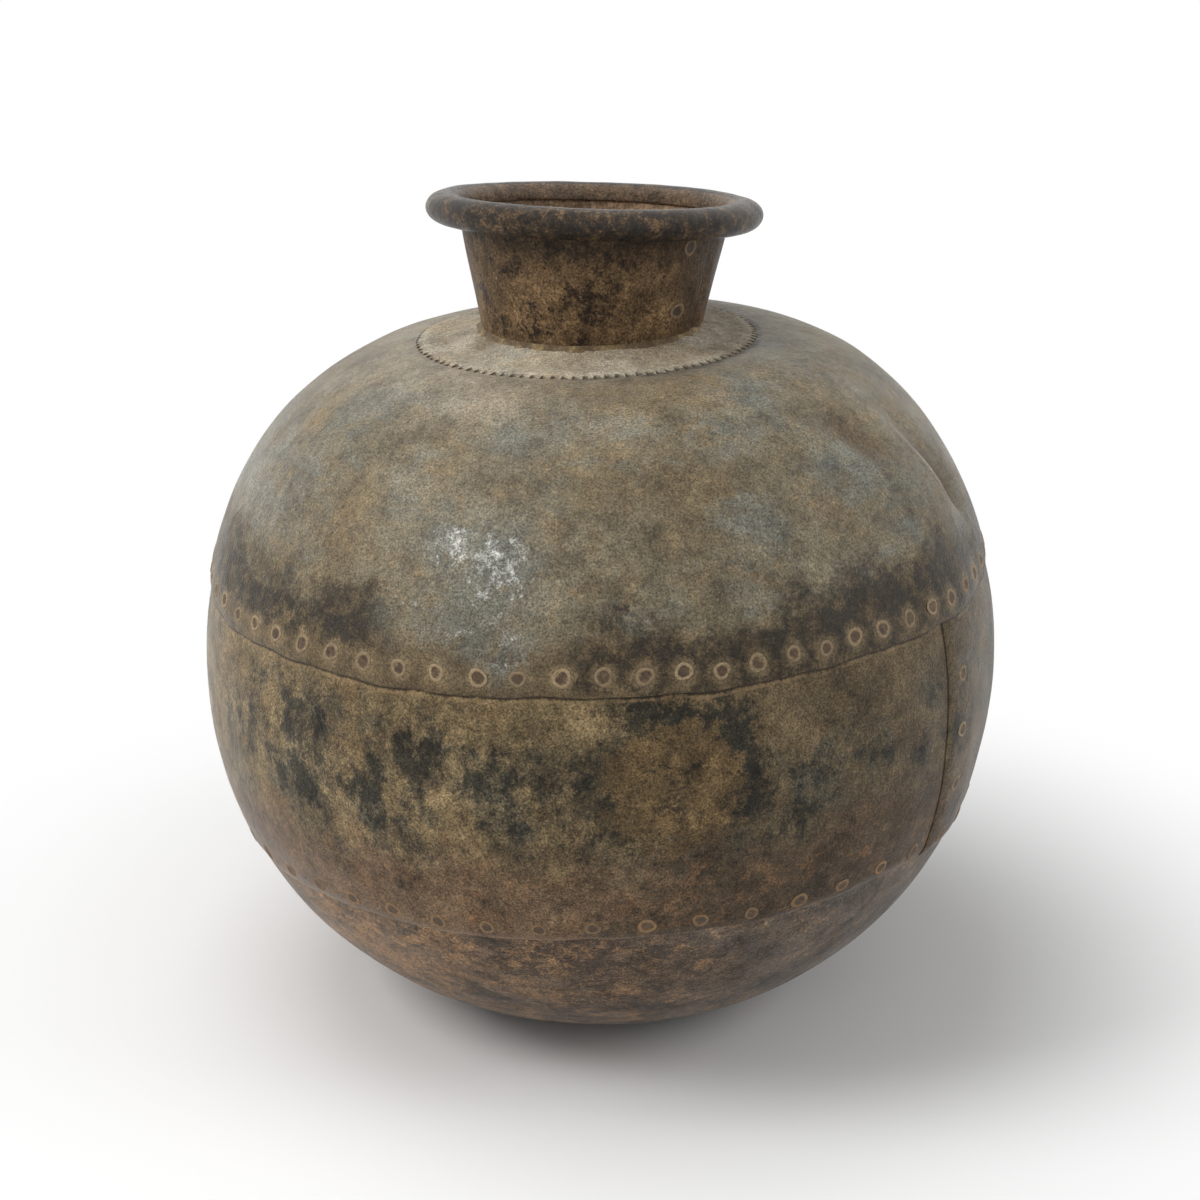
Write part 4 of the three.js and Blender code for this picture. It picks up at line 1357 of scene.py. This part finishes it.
    def build(self) -> list[Piece]:
        """Makes the body's sheets."""
        shape = self.shape
        belt = BeltPatina(shape).make()
        front = (shape.left_lap[0] - 360.0, shape.right_lap[1])
        rear = (shape.right_lap[0], shape.left_lap[1])
        return [
            self.pan(),
            self.belt_plate("front_belt_sheet", "belt_plate_front", *front, False, belt),
            self.belt_plate("rear_belt_sheet", "belt_plate_rear", *rear, True, belt),
            self.dome(),
        ]


@dataclass
class Rivets:
    """All rivets, copied from one that is spun once."""

    shape: PotShape
    row: UpperRow
    neck_frames: tuple[Matrix, ...]
    core_radius: float = 0.0027
    crown_radius: float = 0.0038
    head_radius: float = 0.0047
    shank_radius: float = 0.0030
    core_height: float = 0.0001
    crown_height: float = 0.0003
    tail_height: float = 0.0010
    core_flat: float = 0.75
    wear_places: tuple[float, ...] = (0.52, 0.64, 0.95, 1.0)
    wear_marks: tuple[float, ...] = (0.42, 0.0, 1.0, 1.0, 0.3)
    squeeze: float = 0.07
    lobe: float = 0.05
    size_spread: float = 0.10
    tones: Range = (0.55, 1.0)
    sides: int = 20
    lower_count: int = 48
    lower_start: float = -1.0
    side_count: int = 3
    seed: int = 11
    upper_wear: RivetWear = RivetWear("upper_rivet_wear", (0.310, 0.226, 0.128), (0.078, 0.048, 0.026))
    lower_wear: RivetWear = RivetWear("lower_rivet_wear", (0.275, 0.160, 0.072), (0.080, 0.054, 0.034))
    neck_wear: RivetWear = RivetWear("neck_rivet_wear", (0.205, 0.130, 0.066), (0.045, 0.027, 0.015))
    luck: np.random.Generator = field(init=False)

    def __post_init__(self) -> None:
        """Starts the repeatable irregularity of the handwork."""
        self.luck = np.random.default_rng(self.seed)

    def first(self) -> Piece:
        """Spins the rivet that the others are copied from."""
        grip = self.shape.sheet + self.shape.lap_step
        valley = lerp(self.core_height, self.crown_height, 0.25)
        profile = np.array([
            (0.0, self.core_height),
            (self.core_radius * self.core_flat, self.core_height),
            (self.core_radius, valley),
            (lerp(self.core_radius, self.crown_radius, 0.55), self.crown_height * 0.95),
            (self.crown_radius, self.crown_height),
            (lerp(self.crown_radius, self.head_radius, 0.6), self.crown_height * 0.62),
            (self.head_radius, -self.core_height),
            (self.shank_radius, -self.core_height),
            (self.shank_radius, -grip),
            (self.head_radius, -grip),
            (self.crown_radius, -grip - self.tail_height * 0.8),
            (0.0, -grip - self.tail_height),
        ])
        piece = Bench.spun("rivet_pattern", profile, self.sides)
        points, radius, _ = Bench.round_points(piece)
        places = (self.core_radius * self.core_flat, *(np.array(self.wear_places) * self.head_radius))
        Bench.mark(piece, Mark.CROWN, np.interp(radius, places, self.wear_marks))
        Bench.mark(piece, Mark.TONE, np.ones(len(points)))
        Bench.face_out(piece)
        Bench.smooth(piece)
        return piece

    def copy(self, pattern: Piece, name: str, seat: Matrix, material: Material,
             *nodes: str) -> Piece:
        """Sets one copy of the rivet in its seat, a little out of round.

        Args:
            pattern: rivet to copy.
            name: name of the copy.
            seat: frame on the sheet's outer face.
            material: its finish.
            nodes: solid that it stands for, if it has its own.

        Returns:
            The finished rivet.
        """
        piece = bpy.data.objects.new(name, pattern.data.copy())
        piece.data.name = name
        bpy.context.scene.collection.objects.link(piece)
        turn = Matrix.Rotation(self.luck.uniform(0.0, FULL_TURN), 4, "Z")
        wide, high = self.luck.uniform(1.0 - self.squeeze, 1.0 + self.squeeze, 2)
        lobes = self.luck.uniform(0.0, FULL_TURN, 2)
        size = self.luck.uniform(1.0 - self.size_spread, 1.0 + self.size_spread)
        points = Bench.points(piece)
        bearing = np.arctan2(points[:, 1], points[:, 0])
        lobed = np.sin(2.0 * bearing + lobes[0]) + np.sin(3.0 * bearing + lobes[1])
        points[:, :2] *= (size * (1.0 + self.lobe * lobed))[:, None]
        Bench.settle(piece, points)
        piece.data.transform(seat @ turn @ Matrix.Diagonal((wide, 1.0 / wide, high, 1.0)))
        tone = np.full(len(points), self.luck.uniform(*self.tones), np.float32)
        piece.data.attributes[Mark.TONE.value].data.foreach_set("value", tone)
        Bench.dress(piece, material)
        return Bench.fit(piece, Slot.RIVET, *nodes)

    def upper_row(self, pattern: Piece) -> list[Piece]:
        """Sets the row through the dome's skirt."""
        material = self.upper_wear.make()
        pieces = []
        for rivet, (azimuth, height) in enumerate(zip(*self.row.spots(self.shape)), start=1):
            seat = self.shape.seat(azimuth, height, self.shape.DOME_LAYER)
            pieces.append(self.copy(pattern, f"upper_row_rivet_{rivet:02d}", seat, material))
        return pieces

    def lower_row(self, pattern: Piece) -> list[Piece]:
        """Sets the row through the belt's lower edge, each at its solid's place."""
        material = self.lower_wear.make()
        pieces = []
        for rivet in range(self.lower_count):
            azimuth = self.lower_start + rivet * 360.0 / self.lower_count
            height = self.shape.lower_edge(azimuth) + self.shape.lower_lap / 2.0
            seat = self.shape.seat(azimuth, height, self.shape.BELT_LAYER)
            over_front = azimuth < self.shape.right_lap[0] or azimuth > self.shape.left_lap[1]
            if over_front:
                seat = self.unlifted(seat, azimuth)
            node = f"lower_rivet_{rivet + 1:02d}"
            pieces.append(self.copy(pattern, f"lower_row_rivet_{rivet + 1:02d}", seat, material, node))
        return pieces

    def unlifted(self, seat: Matrix, azimuth: float) -> Matrix:
        """Takes the rear plate's lift out of a seat on the front plate."""
        lift = float(self.shape.lift(np.array([azimuth]))[0])
        return seat @ Matrix.Translation((0.0, 0.0, -lift))

    def side_laps(self, pattern: Piece) -> list[Piece]:
        """Sets the rivets up the belt's two upright laps."""
        material = self.upper_wear.make()
        pieces = []
        for side, lap in (("right", self.shape.right_lap), ("left", self.shape.left_lap)):
            azimuth = sum(lap) / 2.0
            low = self.shape.lower_edge(azimuth) + self.shape.lower_lap / 2.0
            high = self.shape.upper_edge(azimuth)
            for rivet in range(1, self.side_count + 1):
                height = lerp(low, high, rivet / (self.side_count + 1))
                seat = self.shape.seat(azimuth, height, self.shape.BELT_LAYER)
                pieces.append(self.copy(pattern, f"{side}_lap_rivet_{rivet}", seat, material))
        return pieces

    def neck_lap(self, pattern: Piece) -> list[Piece]:
        """Sets the rivets of the neck's lap."""
        material = self.neck_wear.make()
        return [
            self.copy(pattern, f"neck_lap_rivet_{rivet}", seat, material, f"neck_rivet_{rivet}")
            for rivet, seat in enumerate(self.neck_frames, start=1)
        ]

    def build(self) -> list[Piece]:
        """Makes all rivets and puts the pattern away."""
        pattern = self.first()
        rows = (self.upper_row, self.lower_row, self.side_laps, self.neck_lap)
        pieces = [piece for row in rows for piece in row(pattern)]
        bpy.data.objects.remove(pattern)
        return pieces


@dataclass
class Neck:
    """Shoulder ring, neck, braze and beaded rim."""

    shape: PotShape
    ring_radius: float = 0.0955
    ring_flat_radius: float = 0.080
    ring_rise: float = 0.0055
    ring_bore: float = 0.0605
    ring_thickness: float = 0.0009
    ring_edge_height: float = -0.0002
    ring_rows: int = 14
    tooth_count: int = 104
    tooth_columns: int = 8
    tooth_depth: float = 0.0040
    tooth_lift: float = 0.0021
    tooth_foot: float = 0.0012
    tooth_reach: float = 0.0075
    tooth_start: float = 0.02
    tooth_mean: float = 0.75
    tooth_uneven: Waves = Waves(0.45, 0.37, 3.0)
    # phases of the painted shade in each slit, and its share on the teeth's wall
    slit: Range = (0.54, 0.82)
    wall_shade: float = 0.7
    ring_dents: Waves = Waves(0.0005, 45.0, 6.0)
    foot_radius: float = 0.0613
    top_radius: float = 0.0752
    spigot: float = 0.010
    shift: float = 0.0024
    lean_back: float = 5.5
    lean_right: float = 3.2
    lap_azimuth: float = 61.0
    lap_width: float = 30.0
    lap_ramp: float = 10.0
    tuck_drop: float = 0.0021
    tuck_rise: float = 3.0
    collar_columns: int = 234
    collar_rows: int = 26
    collar_dents: Waves = Waves(0.0006, 30.0, 2.0)
    rivet_heights: Range = (0.014, 0.049)
    braze_width: float = 0.0026
    braze_height: float = 0.0021
    braze_columns: int = 220
    braze_rough: tuple[Waves, ...] = (Waves(0.0011, 130.0, 1.0), Waves(0.0008, 320.0, 5.0))
    dent_rise: float = 0.6
    bead_radius: float = 0.0927
    bead_half_height: float = 0.0084
    bead_height: float = 0.0625
    bead_grip_gap: float = 0.0005
    bead_outer_start: float = 225.0
    bead_bottom: float = 270.0
    bead_inner_end: float = 188.0
    bead_steps: int = 44
    bead_columns: int = 260
    bead_dents: tuple[Waves, ...] = (Waves(0.0008, 22.0, 8.0), Waves(0.0003, 75.0, 3.0))
    bead_inside: Range = (0.8, 0.4)
    top_in_bead: float = 0.0015

    @property
    def slope(self) -> float:
        """Growth of the neck's radius with height."""
        return (self.top_radius - self.foot_radius) / self.bead_height

    def radius_at(self, height: Array | float) -> Array | float:
        """Gives the radius of the neck's outer face."""
        return self.foot_radius + self.slope * height

    def ring_top(self, radius: Array | float) -> Array | float:
        """Gives the height of the ring's cone over the land."""
        grade = self.ring_rise / (self.ring_flat_radius - self.foot_radius)
        return self.shape.lap_step + grade * np.maximum(self.ring_flat_radius - radius, 0.0)

    def frame(self) -> Matrix:
        """Gives the frame of the neck, with its foot at zero height."""
        place = Matrix.Translation((self.shift, 0.0, float(self.ring_top(self.foot_radius))))
        lean = Matrix.Rotation(-math.radians(self.lean_back), 4, "X")
        return self.shape.top_frame() @ place @ lean @ Matrix.Rotation(math.radians(self.lean_right), 4, "Y")

    def rivet_frames(self) -> tuple[Matrix, ...]:
        """Gives the frames of the neck's rivets, on its lap."""
        azimuth = self.lap_azimuth - self.lap_width / 2.0
        angle = math.radians(azimuth)
        out = Vector((math.sin(angle), -math.cos(angle), -self.slope)).normalized()
        turn = out.to_track_quat("Z", "Y").to_matrix().to_4x4()
        frames = []
        for height in self.rivet_heights:
            spot = Vector(around(np.array(self.radius_at(height)), np.array(azimuth), np.array(height)))
            frames.append(self.frame() @ Matrix.Translation(spot) @ turn)
        return tuple(frames)

    def shoulder_ring(self) -> Piece:
        """Makes the ring with its lifted saw teeth."""
        radii = np.concatenate([
            np.linspace(self.ring_bore, self.ring_radius - self.tooth_reach, self.ring_rows),
            np.linspace(self.ring_radius - self.tooth_reach, self.ring_radius, self.ring_rows // 2)[1:],
        ])
        top = np.stack([radii, self.ring_top(radii)], axis=1)
        profile = np.vstack([top, (self.ring_radius, -self.tooth_foot)])
        piece = Bench.spun("toothed_ring", profile, self.tooth_count * self.tooth_columns)
        points, radius, azimuth = Bench.round_points(piece)
        near_edge = smoothstep(radius, self.ring_radius - self.tooth_reach, self.ring_radius)
        phase = np.mod(azimuth * self.tooth_count / 360.0 + self.tooth_start, 1.0)
        tooth = np.round(azimuth / 360.0 * self.tooth_count)
        uneven = self.tooth_mean + self.tooth_uneven.at(tooth[:, None] * np.ones(3))
        flap = 1.0 - phase
        reach = radius - near_edge * self.tooth_depth * flap * uneven
        height = points[:, 2] - near_edge * (self.shape.lap_step - self.ring_edge_height)
        height += near_edge * self.tooth_lift * flap * uneven
        height += self.ring_dents.at(points) * (1.0 - near_edge)
        height = np.where(points[:, 2] < 0.0, points[:, 2], height)
        settled = around(reach, azimuth, height)
        settled[:, 0] += self.shift * (1.0 - smoothstep(radius, self.foot_radius, self.ring_radius))
        Bench.settle(piece, settled)
        # painted shade in the slit behind each lifted flap and along the teeth's wall
        wall = np.where(points[:, 2] < 0.0, self.wall_shade, 0.0)
        Bench.mark(piece, Mark.SLIT, np.maximum(near_edge * smoothstep(phase, *self.slit), wall))
        Bench.face_out(piece)
        Bench.thicken(piece, self.ring_thickness)
        Bench.seat(piece, self.shape.top_frame(), RingDust().make())
        return Bench.fit(piece, Slot.RING, "shoulder_ring")

    def collar(self) -> Piece:
        """Bends one flat sheet into the neck, its first end tucked inside its last."""
        piece = Bench.flat_sheet("neck_sheet", self.collar_columns, self.collar_rows)
        share = Bench.points(piece)[:, :2] + 0.5
        azimuth = lerp(self.lap_azimuth - self.lap_width, self.lap_azimuth + 360.0, share[:, 0])
        lean = math.hypot(1.0, self.slope)
        ramp = self.lap_azimuth + np.cumsum([0.0, self.lap_ramp, self.tuck_rise])
        inset = np.interp(azimuth, ramp[:2], (self.shape.lap_step * lean, 0.0))
        tops = (self.bead_height - self.tuck_drop, self.bead_height + self.top_in_bead)
        top = np.interp(azimuth, ramp[1:], tops)
        height = lerp(-self.spigot, top, share[:, 1])
        spots = around(self.radius_at(height), azimuth, height)
        radius = self.radius_at(height) - inset + self.collar_dents.at(spots)
        Bench.settle(piece, around(radius, azimuth, height))
        Bench.thicken(piece, self.shape.sheet)
        layer = np.arange(len(piece.data.vertices)) >= len(height)
        Bench.mark(piece, Mark.INSIDE, layer.astype(float))
        Bench.round_edges(piece, self.shape.edge_round)
        Bench.seat(piece, self.frame(), NeckRust().make())
        return Bench.fit(piece, Slot.NECK, "neck_collar")

    def braze(self) -> Piece:
        """Makes the rough fillet round the neck's foot."""
        edge = self.foot_radius + self.braze_width
        foot = float(self.ring_top(self.foot_radius))
        seat = float(self.ring_top(edge)) - self.shape.lap_gap
        profile = np.array([
            (self.ring_bore, foot - self.braze_height),
            (edge, seat),
            (lerp(self.foot_radius, edge, 0.5), lerp(seat, foot + self.braze_height, 0.38)),
            (self.foot_radius, foot + self.braze_height * 0.8),
            (self.ring_bore, foot + self.braze_height),
            (self.ring_bore, foot - self.braze_height),
        ])
        piece = Bench.spun("braze_fillet", profile, self.braze_columns)
        points, radius, azimuth = Bench.round_points(piece)
        rough = sum(waves.at(points) for waves in self.braze_rough)
        rough *= smoothstep(radius, self.ring_bore, edge)
        settled = around(radius + rough, azimuth, points[:, 2] + self.dent_rise * rough)
        settled[:, 0] += self.shift
        Bench.settle(piece, settled)
        Bench.face_out(piece)
        Bench.seat(piece, self.shape.top_frame(), BrazeBrass().make())
        return Bench.fit(piece, Slot.BRAZE, "neck_braze")

    def bead(self, material: Material) -> Piece:
        """Rolls the rim's strip over the neck's edge."""
        lean = math.hypot(1.0, self.slope)
        inner = self.top_radius - self.shape.sheet * lean - self.bead_grip_gap - self.shape.sheet
        half_width = (self.bead_radius - inner) / 2.0
        angles = np.radians(np.linspace(self.bead_outer_start, self.bead_inner_end + 360.0, self.bead_steps))
        profile = np.stack([
            inner + half_width + half_width * np.cos(angles),
            self.bead_height + self.bead_half_height * np.sin(angles),
        ], axis=1)
        profile[:, 0] = np.where(
            np.degrees(angles) < self.bead_bottom,
            np.maximum(profile[:, 0], self.radius_at(profile[:, 1]) + self.bead_grip_gap),
            profile[:, 0],
        )
        piece = Bench.spun("rim_roll", profile, self.bead_columns)
        points, radius, azimuth = Bench.round_points(piece)
        dents = sum(waves.at(points) for waves in self.bead_dents)
        dents *= smoothstep(radius, self.top_radius, self.top_radius + half_width)
        Bench.settle(piece, around(radius + dents, azimuth, points[:, 2] + self.dent_rise * dents))
        Bench.face_out(piece)
        Bench.thicken(piece, self.shape.sheet)
        start, end = (inner + share * half_width for share in self.bead_inside)
        Bench.mark(piece, Mark.INSIDE, smoothstep(Bench.round_points(piece)[1], start, end))
        Bench.round_edges(piece, self.shape.edge_round)
        Bench.seat(piece, self.frame(), material)
        return Bench.fit(piece, Slot.RIM, "rim_bead")

    def build(self) -> list[Piece]:
        """Makes the neck's pieces and dresses the hoop inside the bead."""
        rim = RimIron().make()
        Bench.dress(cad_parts["rim_hoop"], rim)
        return [self.shoulder_ring(), self.collar(), self.braze(), self.bead(rim)]


@dataclass
class Studio:
    """Pale floor, soft light and the photograph's viewpoint."""

    aim_height: float = 0.225
    distance: float = 1.5
    elevation: float = 19.45
    lens: float = 78.0
    sensor: float = 36.0
    floor_size: float = 24.0
    floor_colour: Colour = (0.88, 0.88, 0.88)
    floor_roughness: float = 0.9
    shadow_reach: Range = (0.25, 0.52)
    ambient: float = 0.34
    lamps: tuple[tuple[str, Place, float, float], ...] = (
        ("key", (-2.1, -0.7, 2.0), 1.3, 44.0),
        ("fill", (2.2, -0.5, 1.4), 1.3, 18.0),
        ("front", (-0.4, -2.6, 1.2), 1.4, 4.0),
        ("top", (-0.6, 0.1, 2.5), 1.6, 24.0),
    )

    def camera(self) -> None:
        """Sets the camera at the photograph's angle."""
        tilt = math.radians(self.elevation)
        spot = (0.0, -self.distance * math.cos(tilt), self.aim_height + self.distance * math.sin(tilt))
        bpy.ops.object.select_all(action="DESELECT")
        bpy.ops.object.camera_add(location=spot, rotation=(math.pi / 2.0 - tilt, 0.0, 0.0))
        camera = bpy.context.object
        camera.name = "studio_camera"
        camera.data.lens = self.lens
        camera.data.sensor_width = self.sensor
        bpy.context.scene.camera = camera

    def light(self) -> None:
        """Hangs the soft lamps and lights the surroundings."""
        aim = Vector((0.0, 0.0, self.aim_height))
        for name, spot, size, power in self.lamps:
            bpy.ops.object.light_add(type="AREA", location=spot)
            lamp = bpy.context.object
            lamp.name = f"studio_{name}"
            lamp.data.size = size
            lamp.data.energy = power
            lamp.rotation_euler = (aim - Vector(spot)).to_track_quat("-Z", "Y").to_euler()
        world = bpy.data.worlds.new("studio_surroundings")
        world.use_nodes = True
        bpy.context.scene.world = world
        tree = world.node_tree
        background = tree.nodes["Background"]
        background.inputs["Color"].default_value = (1.0, 1.0, 1.0, 1.0)
        strength = tree.nodes.new("ShaderNodeMapRange")
        tree.links.new(self.seen(tree), strength.inputs["Value"])
        strength.inputs["To Min"].default_value = self.ambient
        strength.inputs["To Max"].default_value = 1.0
        tree.links.new(strength.outputs["Result"], background.inputs["Strength"])

    @staticmethod
    def seen(tree: bpy.types.NodeTree) -> Socket:
        """Gives 1 for rays that show the surroundings: from the camera, mirrored or passed through."""
        path = tree.nodes.new("ShaderNodeLightPath")
        shown = path.outputs["Is Camera Ray"]
        for ray in ("Is Glossy Ray", "Is Transmission Ray"):
            either = tree.nodes.new("ShaderNodeMath")
            either.operation = "MAXIMUM"
            tree.links.new(shown, either.inputs[0])
            tree.links.new(path.outputs[ray], either.inputs[1])
            shown = either.outputs[0]
        return shown

    def floor(self) -> None:
        """Lays the pale floor, which is plain white away from the pot's shadow."""
        bpy.ops.object.select_all(action="DESELECT")
        bpy.ops.mesh.primitive_plane_add(size=self.floor_size, location=(0.0, 0.0, 0.0))
        floor = Bench.named("studio_floor")
        paint = Paint("pale_floor", self.floor_colour)
        paint.done(self.floor_roughness, 0.0)
        white = paint.nodes.new("ShaderNodeEmission")
        mixed = paint.nodes.new("ShaderNodeMixShader")
        far = paint.fade(paint.distance((0.0, 0.0, 0.0)), *self.shadow_reach)
        paint.links.new(paint.both(far, self.seen(paint.material.node_tree)), mixed.inputs[0])
        paint.links.new(paint.shader.outputs[0], mixed.inputs[1])
        paint.links.new(white.outputs[0], mixed.inputs[2])
        paint.links.new(mixed.outputs[0], paint.nodes["Material Output"].inputs["Surface"])
        Bench.dress(floor, paint.material)

    def build(self) -> None:
        """Sets up the studio."""
        self.camera()
        self.light()
        self.floor()
        bpy.context.scene.view_settings.view_transform = "Standard"


def main() -> None:
    """Builds the pot and its studio and reports each piece."""
    logging.basicConfig(level=logging.INFO, format="%(message)s")
    shape = PotShape()
    row = UpperRow()
    neck = Neck(shape)
    pieces = Body(shape, row).build() + neck.build() + Rivets(shape, row, neck.rivet_frames()).build()
    for piece in pieces:
        LOG.info("%s: %d faces", piece.name, len(piece.data.polygons))
    Studio().build()


if __name__ == "__main__":
    main()
